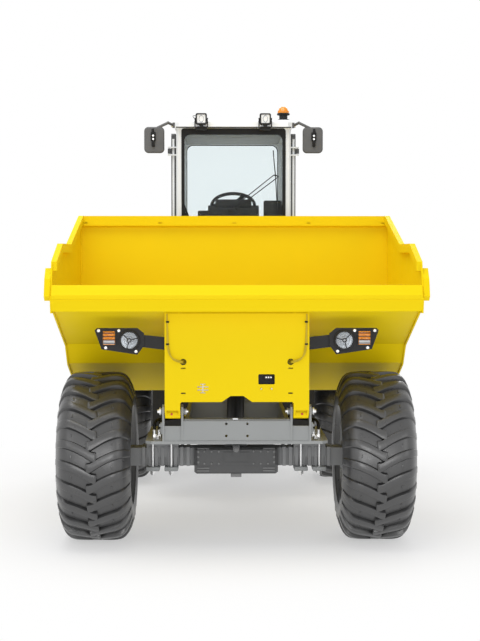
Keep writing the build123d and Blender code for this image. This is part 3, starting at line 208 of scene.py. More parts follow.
blackPlasticLook = {"colour": (0.020, 0.020, 0.021), "cellScale": 520.0, "bump": 0.25, "rough": 0.5, "shine": 0.22}
mirrorRimLook = {**blackPlasticLook, "colour": (0.09, 0.09, 0.092), "rough": 0.35}
lampWhiteLook = {**blackPlasticLook, "colour": (0.72, 0.73, 0.74), "bump": 0.1, "rough": 0.25}
lampRingLook = {**blackPlasticLook, "colour": (0.52, 0.53, 0.54), "bump": 0.1, "rough": 0.25}
cableLook = {**blackPlasticLook, "colour": (0.50, 0.37, 0.02), "bump": 0.1, "rough": 0.4}
greaseRedLook = {**blackPlasticLook, "colour": (0.60, 0.09, 0.06), "bump": 0.1, "rough": 0.4}
screenLook = {**blackPlasticLook, "colour": (0.006, 0.007, 0.009), "bump": 0.0, "rough": 0.08}
mirrorShellLook = {**blackPlasticLook, "colour": (0.105, 0.105, 0.106), "rough": 0.45}
dashLook = {**blackPlasticLook, "colour": (0.014, 0.014, 0.015), "rough": 0.6}
headlinerLook = {**blackPlasticLook, "colour": (0.34, 0.34, 0.34), "cellScale": 340.0, "rough": 0.7}
tankLook = {**blackPlasticLook, "colour": (0.03, 0.03, 0.031), "cellScale": 300.0, "rough": 0.55}


# Tyre rubber: fine mould grain, a grey bloom in patches, and painted shade on the lug sides, darkest at their feet
def tyreRubber(name, look):
    made, shader, wire = startMaterial(name, look["colour"])
    place = objectPlace(wire)
    bloom = noise(wire, place, 3.2, 5.0, 0.6)
    grain = noise(wire, place, 240.0, 3.0, 0.6)
    scuff = noise(wire, place, 26.0, 4.0, 0.6)
    colour = mixColour(wire, bloom, toned(look["colour"], 0.7), toned(look["colour"], 1.4))
    # Painted shade: a vertex attribute darkens the lug side walls towards their feet, where the grooves lie in shadow
    if look["groove"]:
        feet = wire.node("ShaderNodeAttribute", {"attribute_name": "groove"}, out="Fac")
        colour = mixColour(wire, feet, colour, toned(look["colour"], look["groove"]))
    rough = look["rough"] + (scuff - 0.5) * 0.22
    plug(wire, shader, Base_Color=colour, Roughness=rough, Normal=bump(wire, grain + scuff * 0.6, 0.3, 0.001))
    shader.inputs["Specular IOR Level"].default_value = look["shine"]
    return made


# The last value is the painted shade at the lug feet, as a share of the rubber colour
rubberLook = {"colour": (0.046, 0.046, 0.047), "rough": 0.31, "shine": 0.80, "groove": 0.05}
sealLook = {"colour": (0.008, 0.008, 0.008), "rough": 0.6, "shine": 0.2, "groove": 0.0}


# Bright metal: ground rods, zinc-plated studs
def brightMetal(name, look):
    made, shader, wire = startMaterial(name, look["colour"])
    place = objectPlace(wire)
    lines = wire.node("ShaderNodeMapping", None, {"Vector": place, "Scale": look["stretch"]})
    streaks = noise(wire, lines, look["scale"], 3.0, 0.6)
    tarnish = noise(wire, place, 12.0, 4.0, 0.6)
    colour = mixColour(wire, tarnish, toned(look["colour"], 0.85), toned(look["colour"], 1.08))
    plug(wire, shader, Base_Color=colour, Roughness=look["rough"] + streaks * look["spread"],
         Normal=bump(wire, streaks, 0.05, 0.0003))
    shader.inputs["Metallic"].default_value = 1.0
    return made


chromeLook = {"colour": (0.70, 0.71, 0.73), "stretch": (40.0, 6.0, 6.0), "scale": 30.0, "rough": 0.08, "spread": 0.12}
zincBrightLook = {"colour": (0.86, 0.86, 0.86), "stretch": (30.0, 30.0, 30.0), "scale": 12.0, "rough": 0.38, "spread": 0.2}
lampSilverLook = {"colour": (0.30, 0.31, 0.32), "stretch": (4.0, 4.0, 4.0), "scale": 8.0, "rough": 0.30, "spread": 0.1}
zincLook = {"colour": (0.66, 0.66, 0.65), "stretch": (30.0, 30.0, 30.0), "scale": 12.0, "rough": 0.28, "spread": 0.2}
mirrorLook = {"colour": (0.82, 0.84, 0.86), "stretch": (1.0, 1.0, 1.0), "scale": 3.0, "rough": 0.015, "spread": 0.02}


# Clear glass: see-through face on, glossy at a glance, with a faint film of dust
def clearGlass(name, look):
    made, shader, wire = startMaterial(name, look["colour"])
    place = objectPlace(wire)
    film = noise(wire, place, 4.0, 5.0, 0.6)
    clear = wire.node("ShaderNodeBsdfTransparent", None, {"Color": (*look["tint"], 1)})
    edge = wire.node("ShaderNodeFresnel", None, {"IOR": 1.45})
    share = edge * look["gloss"] + film * look["film"]
    shader.inputs["Roughness"].default_value = 0.02
    mixed = wire.node("ShaderNodeMixShader", None, {0: share, 1: clear, 2: Wire(wire.tree, shader.outputs[0])})
    wire.tree.links.new(mixed.socket, wire.tree.nodes["Material Output"].inputs["Surface"])
    return made


windowLook = {"colour": (0.80, 0.85, 0.86), "tint": (0.945, 0.968, 0.972), "gloss": 0.30, "film": 0.008}
lensLook = {"colour": (0.85, 0.87, 0.9), "tint": (0.95, 0.96, 0.97), "gloss": 0.45, "film": 0.02}


# Coloured lenses: ribbed plastic that glows a little from behind
def colouredLens(name, look):
    made, shader, wire = startMaterial(name, look["colour"])
    place = objectPlace(wire)
    ribs = wire.node("ShaderNodeTexWave", {"bands_direction": look["bands"]}, {"Vector": place, "Scale": look["ribScale"]})
    colour = mixColour(wire, ribs, toned(look["colour"], 0.75), toned(look["colour"], 1.15))
    plug(wire, shader, Base_Color=colour, Normal=bump(wire, ribs, 0.35, 0.002))
    shader.inputs["Roughness"].default_value = 0.12
    shader.inputs["Coat Weight"].default_value = 0.2
    shader.inputs["Emission Color"].default_value = (*look["colour"], 1)
    shader.inputs["Emission Strength"].default_value = look["glow"]
    return made


amberLook = {"colour": (0.74, 0.25, 0.005), "bands": "Z", "ribScale": 30.0, "glow": 0.03}
redLook = {"colour": (0.55, 0.012, 0.01), "bands": "X", "ribScale": 36.0, "glow": 0.05}


# Seat vinyl: small pebble grain with creases of a slower scale
def seatVinyl(name, look):
    made, shader, wire = startMaterial(name, look["colour"])
    place = objectPlace(wire)
    pebbles = wire.node("ShaderNodeTexVoronoi", {"feature": "SMOOTH_F1"}, {"Vector": place, "Scale": 420.0})
    creases = noise(wire, place, 30.0, 5.0, 0.65)
    colour = mixColour(wire, creases, toned(look["colour"], 0.7), toned(look["colour"], 1.5))
    plug(wire, shader, Base_Color=colour, Roughness=0.45 + creases * 0.2,
         Normal=bump(wire, pebbles + creases * 0.8, 0.3, 0.0012))
    return made


vinylLook = {"colour": (0.03, 0.03, 0.032)}

finishes = {
    "skipYellow": sprayedPaint("skipYellow", skipYellowLook),
    "bonnetYellow": sprayedPaint("bonnetYellow", bonnetYellowLook),
    "frameGrey": sprayedPaint("frameGrey", frameGreyLook),
    "frameDark": sprayedPaint("frameDark", frameDarkLook),
    "cabGrey": sprayedPaint("cabGrey", cabGreyLook),
    "roofGrey": sprayedPaint("roofGrey", roofLook),
    "rimGrey": sprayedPaint("rimGrey", rimLook),
    "doorDark": sprayedPaint("doorDark", doorLook),
    "blackPaint": sprayedPaint("blackPaint", blackPaintLook),
    "castGrey": casting("castGrey", castGreyLook),
    "castDark": casting("castDark", castDarkLook),
    "axleCast": casting("axleCast", axleLitEndsLook),
    "blackPlastic": grainedPlastic("blackPlastic", blackPlasticLook),
    "mirrorShell": grainedPlastic("mirrorShell", mirrorShellLook),
    "dashPlastic": grainedPlastic("dashPlastic", dashLook),
    "headliner": grainedPlastic("headliner", headlinerLook),
    "tankPlastic": grainedPlastic("tankPlastic", tankLook),
    "rubber": tyreRubber("rubber", rubberLook),
    "sealRubber": tyreRubber("sealRubber", sealLook),
    "chrome": brightMetal("chrome", chromeLook),
    "zincBright": brightMetal("zincBright", zincBrightLook),
    "lampSilver": brightMetal("lampSilver", lampSilverLook),
    "mirrorRim": grainedPlastic("mirrorRim", mirrorRimLook),
    "lampWhite": grainedPlastic("lampWhite", lampWhiteLook),
    "lampRing": grainedPlastic("lampRing", lampRingLook),
    "cableYellow": grainedPlastic("cableYellow", cableLook),
    "greaseRed": grainedPlastic("greaseRed", greaseRedLook),
    "screenDark": grainedPlastic("screenDark", screenLook),
    "castPale": casting("castPale", castPaleLook),
    "zinc": brightMetal("zinc", zincLook),
    "mirrorGlass": brightMetal("mirrorGlass", mirrorLook),
    "windowGlass": clearGlass("windowGlass", windowLook),
    "lensGlass": clearGlass("lensGlass", lensLook),
    "amberLens": colouredLens("amberLens", amberLook),
    "redLens": colouredLens("redLens", redLook),
    "vinyl": seatVinyl("vinyl", vinylLook),
}
print("materials made:", len(finishes))

# Finish of each kept CAD piece, by the start of its name
nodeFinish = {
    "skip_": "skipYellow", "tip_ears": "skipYellow", "lamp_brackets": "blackPaint", "headlamps": "blackPlastic",
    "indicators": "amberLens", "front_frame": "frameGrey", "front_axle": "axleCast", "front_shaft": "castDark",
    "rear_frame": "frameDark", "rear_axle": "axleCast", "rear_shaft": "castDark", "engine_block": "castDark",
    "counterweight": "frameDark", "side_tanks": "tankPlastic", "rear_mudguards": "blackPlastic",
    "cab_base": "frameDark", "cab_frame": "cabGrey", "cab_glass": "windowGlass", "cab_roof": "roofGrey",
    "dashboard": "dashPlastic", "operator_seat": "vinyl", "display": "dashPlastic", "work_lamps": "blackPlastic",
    "beacon_base": "blackPlastic", "beacon_dome": "amberLens", "mirrors": "mirrorShell", "wiper": "blackPaint",
    "tail_lamps": "redLens", "bonnet": "bonnetYellow", "tip_barrel": "blackPaint", "tip_rod": "chrome",
    "steer_barrel": "blackPaint", "steer_rod": "chrome", "door_left_glass": "windowGlass",
    "door_right_glass": "windowGlass", "door_": "doorDark", "steering_wheel": "dashPlastic", "tyre_": "rubber",
    "rim_": "rimGrey",
}
for name, node in nodes.items():
    start = max((key for key in nodeFinish if name.startswith(key)), key=len)
    node.data.materials.clear()
    node.data.materials.append(finishes[nodeFinish[start]])
print("finishes given to the kept pieces")

# Mesh tools: each maker returns an open bmesh in metres, in the shared frame
def lathe(profile, place, axis, steps):
    bm = bmesh.new()
    turn = Vector((0, 0, 1)).rotation_difference(Vector(axis)).to_matrix()
    rings = []
    for along, radius in profile:
        count = steps if radius > 0 else 1
        corners = [Vector((radius * math.cos(2 * math.pi * i / steps), radius * math.sin(2 * math.pi * i / steps), along))
                   for i in range(count)]
        rings.append([bm.verts.new(turn @ corner + Vector(place)) for corner in corners])
    for ring, following in zip(rings, rings[1:]):
        for i in range(steps):
            j = (i + 1) % steps
            corners = [ring[i % len(ring)], ring[j % len(ring)], following[j % len(following)],
                       following[i % len(following)]]
            bm.faces.new(list(dict.fromkeys(corners)))
    return bm


def block(low, high, bevel=0.0, segments=2):
    bm = bmesh.new()
    bmesh.ops.create_cube(bm, size=1.0)
    low, high = Vector(low), Vector(high)
    size = high - low
    for vert in bm.verts:
        vert.co = Vector((vert.co.x * size.x, vert.co.y * size.y, vert.co.z * size.z)) + (low + high) / 2
    if bevel:
        bmesh.ops.bevel(bm, geom=list(bm.edges), offset=bevel, segments=segments, profile=0.5, affect="EDGES")
    return bm


def roundedOutline(low, high, corner, steps=6):
    points = []
    for signX, signZ, start in ((1, 1, 0), (-1, 1, 90), (-1, -1, 180), (1, -1, 270)):
        middle = ((high[0] if signX > 0 else low[0]) - signX * corner, (high[1] if signZ > 0 else low[1]) - signZ * corner)
        for i in range(steps + 1):
            turn = math.radians(start + 90 * i / steps)
            points.append((middle[0] + corner * math.cos(turn), middle[1] + corner * math.sin(turn)))
    return points


def slabY(outline, front, back, hole=None):
    bm = bmesh.new()
    loops = [outline] if hole is None else [outline, hole]
    faces = [[[bm.verts.new((x, y, z)) for x, z in loop] for loop in loops] for y in (front, back)]
    for loopFront, loopBack in zip(*faces):
        for i in range(len(loopFront)):
            j = (i + 1) % len(loopFront)
            bm.faces.new((loopFront[i], loopFront[j], loopBack[j], loopBack[i]))
    for side in faces:
        if hole is None:
            bm.faces.new(side[0])
        else:
            for i in range(len(outline)):
                j = (i + 1) % len(outline)
                bm.faces.new((side[0][i], side[0][j], side[1][j], side[1][i]))
    return bm


def pipe(points, radius, sides=10):
    data = bpy.data.curves.new("route", "CURVE")
    data.dimensions = "3D"
    data.bevel_depth = radius
    data.bevel_resolution = max(1, sides // 4 - 1)
    data.resolution_u = 10
    data.use_fill_caps = True
    spline = data.splines.new("NURBS")
    spline.points.add(len(points) - 1)
    for point, place in zip(spline.points, points):
        point.co = (*place, 1)
    spline.order_u = 3
    spline.use_endpoint_u = True
    route = bpy.data.objects.new("route", data)
    bpy.context.collection.objects.link(route)
    mesh = bpy.data.meshes.new_from_object(route.evaluated_get(bpy.context.evaluated_depsgraph_get()))
    bpy.data.objects.remove(route)
    bm = bmesh.new()
    bm.from_mesh(mesh)
    bpy.data.meshes.remove(mesh)
    bmesh.ops.remove_doubles(bm, verts=list(bm.verts), dist=0.00002)
    return bm


def hexBolt(place, axis, across, height, shank=0.0):
    half = across / 2
    bm = lathe([(-shank, 0), (-shank, half * 0.9), (0, half * 1.15), (height * 0.8, half * 1.15), (height, half), (height, 0)],
               place, axis, 6)
    return bm


def joined(shapes):
    bm = bmesh.new()
    for shape in shapes:
        mesh = bpy.data.meshes.new("part")
        shape.to_mesh(mesh)
        shape.free()
        bm.from_mesh(mesh)
        bpy.data.meshes.remove(mesh)
    return bm


def mirrored(bm):
    other = bm.copy()
    for vert in other.verts:
        vert.co.x = -vert.co.x
    bmesh.ops.reverse_faces(other, faces=list(other.faces))
    return joined([bm, other])


def put(name, bm, finish, body, sharp=35.0):
    bmesh.ops.recalc_face_normals(bm, faces=list(bm.faces))
    mesh = bpy.data.meshes.new(name)
    bm.to_mesh(mesh)
    bm.free()
    return dress(name, mesh, finish, body, sharp)


def dress(name, mesh, finish, body, sharp=35.0):
    mesh.materials.clear()
    mesh.materials.append(finishes[finish])
    mesh.shade_smooth()
    mesh.set_sharp_from_angle(angle=math.radians(sharp))
    piece = bpy.data.objects.new(name, mesh)
    bpy.context.collection.objects.link(piece)
    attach(piece, body)
    return piece


# Geometry Nodes: copies round an axis, and copies along a line with bolts clocked at random from a fixed seed
def startTree(name, inputs):
    tree = bpy.data.node_groups.new(name, "GeometryNodeTree")
    tree.interface.new_socket("Geometry", in_out="INPUT", socket_type="NodeSocketGeometry")
    for label, kind in inputs:
        tree.interface.new_socket(label, in_out="INPUT", socket_type="NodeSocket" + kind)
    tree.interface.new_socket("Geometry", in_out="OUTPUT", socket_type="NodeSocketGeometry")
    entry = tree.nodes.new("NodeGroupInput")
    return Wire(tree), {socket.name: Wire(tree, socket) for socket in entry.outputs if socket.name}


def endTree(wire, points, given, rotation):
    copies = wire.node("GeometryNodeInstanceOnPoints", None, {"Points": points, "Instance": given["Geometry"],
                                                              "Rotation": rotation})
    solid = wire.node("GeometryNodeRealizeInstances", None, {"Geometry": copies})
    done = wire.node("GeometryNodeSetMaterial", None, {"Geometry": solid, "Material": given["Finish"]})
    exitNode = wire.tree.nodes.new("NodeGroupOutput")
    wire.tree.links.new(done.socket, exitNode.inputs["Geometry"])
    return wire.tree


def ringTree():
    wire, given = startTree("ringOfCopies", (("Copies", "Int"), ("Centre", "Vector"), ("Axis", "Vector"),
                                             ("Start", "Float"), ("Finish", "Material")))
    points = wire.node("GeometryNodePoints", None, {"Count": given["Copies"], "Position": given["Centre"]})
    index = wire.node("GeometryNodeInputIndex")
    angle = index * (2 * math.pi) / given["Copies"] + given["Start"]
    rotation = wire.node("FunctionNodeAxisAngleToRotation", None, {"Axis": given["Axis"], "Angle": angle})
    return endTree(wire, points, given, rotation)


def rowTree():
    wire, given = startTree("rowOfCopies", (("Copies", "Int"), ("First", "Vector"), ("Step", "Vector"),
                                            ("Axis", "Vector"), ("Spread", "Float"), ("Seed", "Int"),
                                            ("Finish", "Material")))
    index = wire.node("GeometryNodeInputIndex")
    reach = wire.node("ShaderNodeVectorMath", {"operation": "SCALE"}, {0: given["Step"], "Scale": index})
    place = wire.node("ShaderNodeVectorMath", {"operation": "ADD"}, {0: given["First"], 1: reach})
    points = wire.node("GeometryNodePoints", None, {"Count": given["Copies"], "Position": place})
    angle = wire.node("FunctionNodeRandomValue", {"data_type": "FLOAT"},
                      {2: 0.0, 3: given["Spread"], "ID": index, "Seed": given["Seed"]}, out=1)
    rotation = wire.node("FunctionNodeAxisAngleToRotation", None, {"Axis": given["Axis"], "Angle": angle})
    return endTree(wire, points, given, rotation)


trees = {"ring": ringTree(), "row": rowTree()}


def repeated(bm, kind, finish, **values):
    bmesh.ops.recalc_face_normals(bm, faces=list(bm.faces))
    source = bpy.data.meshes.new("source")
    bm.to_mesh(source)
    bm.free()
    carrier = bpy.data.objects.new("carrier", source)
    bpy.context.collection.objects.link(carrier)
    modifier = carrier.modifiers.new("copies", "NODES")
    modifier.node_group = trees[kind]
    values["Finish"] = finishes[finish]
    for item in trees[kind].interface.items_tree:
        if item.in_out == "INPUT" and item.name in values:
            modifier[item.identifier] = values[item.name]
    mesh = bpy.data.meshes.new_from_object(carrier.evaluated_get(bpy.context.evaluated_depsgraph_get()))
    bpy.data.objects.remove(carrier)
    bpy.data.meshes.remove(source)
    return mesh


def meshBack(mesh):
    bm = bmesh.new()
    bm.from_mesh(mesh)
    bpy.data.meshes.remove(mesh)
    return bm


def boltRow(first, step, count, axis, across, height, seed, finish="zinc"):
    head = hexBolt((0, 0, 0), axis, across, height)
    return meshBack(repeated(head, "row", finish, Copies=count, First=first, Step=step, Axis=axis,
                             Spread=math.radians(60), Seed=seed))


# Tyres: staggered curved lugs round a carcass with a ribbed sidewall; a vertex attribute paints shade on the lug sides,
# darkest at their feet
tyreLook = {"radius": 0.5853, "half": 0.2515, "lugs": 25, "depth": 0.024, "sweep": 10.0, "overlap": 0.034, "stations": 16,
            "nose": 0.006, "draft": 1.32, "soft": 0.004, "shoulderDrop": 0.150, "shoulderPower": 7, "bead": 0.2862,
            "steps": 144, "wearX": 0.135}


def crownRadius(x):
    return tyreLook["radius"] - tyreLook["shoulderDrop"] * (abs(x) / tyreLook["half"]) ** tyreLook["shoulderPower"]


def lugSweep(share):
    bent = max(0.0, share - 0.10) / 0.90
    return math.radians(tyreLook["sweep"]) * (1 - (1 - bent) ** 1.8)


def tyreLug(side):
    pitch = 2 * math.pi / tyreLook["lugs"]
    bm = bmesh.new()
    groove = bm.verts.layers.float.new("groove")
    sections = []
    first, last = -tyreLook["overlap"], tyreLook["half"] * 0.985
    places = [first, first + tyreLook["nose"]]
    places += [first + (last - first) * i / tyreLook["stations"] for i in range(1, tyreLook["stations"] + 1)]
    for i, x in enumerate(places):
        share = (x - first) / (last - first)
        middle = lugSweep(share)
        half = pitch * (0.205 - 0.030 * share) * (0.84 if i == 0 else 1.0)
        tip = crownRadius(x) - (0.005 if i == 0 else 0.0)
        foot = crownRadius(x) - tyreLook["depth"] - 0.006
        soft = tyreLook["soft"] / tip
        # The third value of each row is its painted shade share: 1 at the lug foot, 0.15 just under the tread edge, 0
        # on the tread face
        rows = ((foot, -half * tyreLook["draft"], 1.0), (tip - 0.004, -half, 0.15), (tip - 0.0012, -half + soft * 0.3, 0.0),
                (tip, -half + soft, 0.0), (tip, half - soft, 0.0), (tip - 0.0012, half - soft * 0.3, 0.0),
                (tip - 0.004, half, 0.15), (foot, half * tyreLook["draft"], 1.0))
        section = []
        for radius, turn, depth in rows:
            vert = bm.verts.new((side * x, -radius * math.cos(middle + turn), radius * math.sin(middle + turn)))
            vert[groove] = depth
            section.append(vert)
        sections.append(section)
    for ring, following in zip(sections, sections[1:]):
        for i in range(len(ring)):
            j = (i + 1) % len(ring)
            bm.faces.new((ring[i], ring[j], following[j], following[i]))
    bm.faces.new(sections[0])
    bm.faces.new(sections[-1])
    return bm


def wearMark(side):
    x = tyreLook["wearX"]
    share = (x + tyreLook["overlap"]) / (tyreLook["half"] * 0.985 + tyreLook["overlap"])
    radius = crownRadius(x) - tyreLook["depth"]
    bm = block((side * x - 0.005, -radius - 0.003, -0.012), (side * x + 0.005, -radius + 0.006, 0.012), 0.0012)
    turn = lugSweep(share) + math.pi / tyreLook["lugs"]
    bmesh.ops.rotate(bm, verts=list(bm.verts), cent=(0, 0, 0), matrix=Matrix.Rotation(-turn, 3, "X"))
    return bm


def tyreCarcass():
    half, bead = tyreLook["half"], tyreLook["bead"]
    side = [(0.196, bead), (0.208, bead + 0.004), (0.214, bead + 0.014), (0.212, bead + 0.022), (0.224, bead + 0.034),
            (0.236, bead + 0.060), (0.240, bead + 0.062), (0.241, bead + 0.068), (0.238, bead + 0.071), (0.2465, bead + 0.100),
            (0.2498, bead + 0.116)]
    for share in (0.996, 0.985, 0.965, 0.94, 0.905, 0.86, 0.80, 0.72, 0.62, 0.45, 0.25):
        side.append((half * share, crownRadius(half * share) - tyreLook["depth"]))
    profile = [(-x, r) for x, r in side] + [(0.0, crownRadius(0) - tyreLook["depth"])] + side[::-1]
    bm = lathe(profile + [(-side[0][0], side[0][1])], (0, 0, 0), (1, 0, 0), tyreLook["steps"])
    # The carcass carries the same attribute at zero, so it gets no painted shade
    bm.verts.layers.float.new("groove")
    return bm


def buildTyres():
    pitch = 2 * math.pi / tyreLook["lugs"]
    lugs = []
    for side, start in ((1, 0.0), (-1, pitch / 2)):
        for shape in (tyreLug(side), wearMark(side)):
            lugs.append(meshBack(repeated(shape, "ring", "rubber", Copies=tyreLook["lugs"], Centre=(0.0, 0.0, 0.0),
                                          Axis=(-1.0, 0.0, 0.0), Start=start)))
    whole = joined([tyreCarcass(), *lugs])
    bmesh.ops.remove_doubles(whole, verts=list(whole.verts), dist=0.00001)
    bmesh.ops.recalc_face_normals(whole, faces=list(whole.faces))
    for end in ("front", "rear"):
        for side in ("left", "right"):
            low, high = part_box(f"tyre_{end}_{side}")
            centre = (Vector(low) + Vector(high)) / 2
            copy = whole.copy()
            bmesh.ops.translate(copy, verts=list(copy.verts), vec=centre)
            tyre = put(f"tyre{end.title()}{side.title()}", copy, "rubber", f"wheel_{end}_{side}", 40.0)
            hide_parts(f"tyre_{end}_{side}")
    whole.free()


buildTyres()
print("tyres made")


# Wheels: nuts, hub bolts and a valve on each rim; the outer face is the one away from the machine
wheelLook = {"nuts": 10, "nutCircle": 0.126, "discX": -0.0437, "capX": 0.0063, "capBolts": 6, "capCircle": 0.058,
             "valveCircle": 0.250, "valveX": 0.0113}


def buildWheelTrims():
    for end in ("front", "rear"):
        for side, sign in (("left", 1), ("right", -1)):
            low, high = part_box(f"tyre_{end}_{side}")
            centre = (Vector(low) + Vector(high)) / 2
            out = Vector((sign, 0, 0))
            nutX, capX = wheelLook["discX"] * sign, wheelLook["capX"] * sign
            nut = joined([hexBolt((nutX, 0, wheelLook["nutCircle"]), out, 0.021, 0.013, 0.001),
                          lathe([(0, 0), (0, 0.006), (0.020, 0.006), (0.022, 0.004), (0.022, 0)],
                                (nutX, 0, wheelLook["nutCircle"]), out, 10)])
            nuts = repeated(nut, "ring", "zinc", Copies=wheelLook["nuts"], Centre=tuple(centre), Axis=(1.0, 0.0, 0.0),
                            Start=0.2)
            dress(f"wheelNuts{end.title()}{side.title()}", nuts, "zinc", f"wheel_{end}_{side}")
            bolts = meshBack(repeated(hexBolt((capX, 0, wheelLook["capCircle"]), out, 0.013, 0.007, 0.001), "ring", "castDark",
                                      Copies=wheelLook["capBolts"], Centre=tuple(centre), Axis=(1.0, 0.0, 0.0), Start=0.0))
            plug = lathe([(-0.001, 0), (-0.001, 0.03), (0.006, 0.028), (0.009, 0.020), (0.009, 0)],
                         centre + Vector((capX, 0, 0)), out, 24)
            stem = lathe([(-0.002, 0), (-0.002, 0.010), (0.006, 0.009), (0.007, 0.005), (0.034, 0.005), (0.035, 0.004),
                          (0.035, 0)], centre + Vector((wheelLook["valveX"] * sign, 0, wheelLook["valveCircle"])), out, 12)
            put(f"hubTrim{end.title()}{side.title()}", joined([bolts, plug, stem]), "castDark", f"wheel_{end}_{side}")


buildWheelTrims()
print("wheel trims made")


# Support panel: cables clipped to the flanges, the socket behind its window, pins, clips and grease caps
panelLook = {"face": -2.066, "cable": 0.0045, "clipX": 0.455, "clipZ": (1.402, 1.548), "holeX": 0.352, "holeZ": 1.285}


def buildPanelTrims():
    face = panelLook["face"]
    hole = panelLook["holeX"]
    cables = []
    for drop in (0.0, 0.016):
        front = face - panelLook["cable"] * 1.2
        cables.append(pipe([(panelLook["clipX"] + 0.002, front, 1.600), (panelLook["clipX"] + 0.002 - drop * 0.3, front, 1.470),
                            (panelLook["clipX"] - drop * 0.4, front, 1.390), (0.446 - drop * 0.6, front - 0.010, 1.335 - drop * 0.4),
                            (0.412, front - 0.014, 1.302 - drop * 0.5), (hole + 0.012, front - 0.008, 1.290 - drop * 0.5),
                            (hole, face + 0.004, 1.287 - drop * 0.4), (hole - 0.002, face + 0.040, 1.285)],
                           panelLook["cable"], 8))
    put("panelCables", mirrored(joined(cables)), "cableYellow", "skip")
    clips = [block((panelLook["clipX"] - 0.011, face - 0.012, z - 0.006), (panelLook["clipX"] + 0.009, face + 0.001, z + 0.006), 0.003)
             for z in panelLook["clipZ"]]
    put("cableClips", mirrored(joined(clips)), "sealRubber", "skip")
    grommet = lathe([(0.0, 0.0158), (-0.004, 0.0158), (-0.005, 0.0185), (-0.002, 0.0205), (0.0, 0.0205), (0.0, 0.0158)],
                    (hole, face, panelLook["holeZ"]), (0, 1, 0), 24)
    put("cableGrommets", mirrored(grommet), "sealRubber", "skip")

    pocket = joined([slabY(roundedOutline((0.138, 1.134), (0.250, 1.207), 0.010), face + 0.050, face + 0.058),
                     slabY(roundedOutline((0.136, 1.132), (0.252, 1.209), 0.011), face + 0.010, face + 0.052,
                           roundedOutline((0.1405, 1.1375), (0.2475, 1.2035), 0.008)),
                     block((0.178, face + 0.024, 1.164), (0.238, face + 0.052, 1.198), 0.004)])
    put("socketPocket", pocket, "blackPlastic", "skip")
    pinHoles = meshBack(repeated(lathe([(0.0, 0.0), (0.0, 0.0065), (-0.008, 0.0065), (-0.010, 0.004), (-0.010, 0.0)],
                                       (0, 0, 0), (0, 1, 0), 14), "row", "zinc", Copies=3, First=(0.192, face + 0.0245, 1.182),
                                 Step=(0.016, 0.0, 0.0), Axis=(0.0, 1.0, 0.0), Spread=0.0, Seed=1))
    put("socketPins", pinHoles, "zinc", "skip")
    rivet = lathe([(0.002, 0.0), (0.002, 0.0075), (-0.004, 0.0075), (-0.009, 0.0055), (-0.012, 0.003), (-0.0125, 0.0)],
                  (0, 0, 0), (0, 1, 0), 16)
    dress("panelRivets", repeated(rivet, "row", "zinc", Copies=2, First=(0.159, face, 1.108), Step=(0.068, 0.0, 0.0),
                                  Axis=(0.0, 1.0, 0.0), Spread=0.0, Seed=2), "zinc", "skip")
    cap = lathe([(0.003, 0.0), (0.003, 0.008), (-0.004, 0.008), (-0.007, 0.006), (-0.008, 0.0)], (0.430, -2.0325, 0.938),
                (0, 1, 0.15), 14)
    put("greaseCaps", mirrored(cap), "greaseRed", "skip")
    boss = block((0.372, -2.0325, 0.913), (0.473, -2.0240, 0.951), 0.004, 3)
    put("lugBosses", mirrored(boss), "skipYellow", "skip")
    # Painted light: a pale grey sheet just behind the panel's slots stands in for the light seen through them
    lightSheet = block((-0.272, face + 0.0105, 1.068), (-0.173, face + 0.0130, 1.156), 0.0008)
    put("slotLightSheet", lightSheet, "cabGrey", "skip")


buildPanelTrims()
print("panel trims made")


# Head lamps and indicators: reflector, rings, three-armed guard, ribbed lenses, plate bolts
lampLook = {"centre": (0.707, -2.020, 1.425), "bezelFront": -2.042, "inside": -2.032, "rings": (0.051, 0.034, 0.018),
            "spokes": (45, 165, 285)}


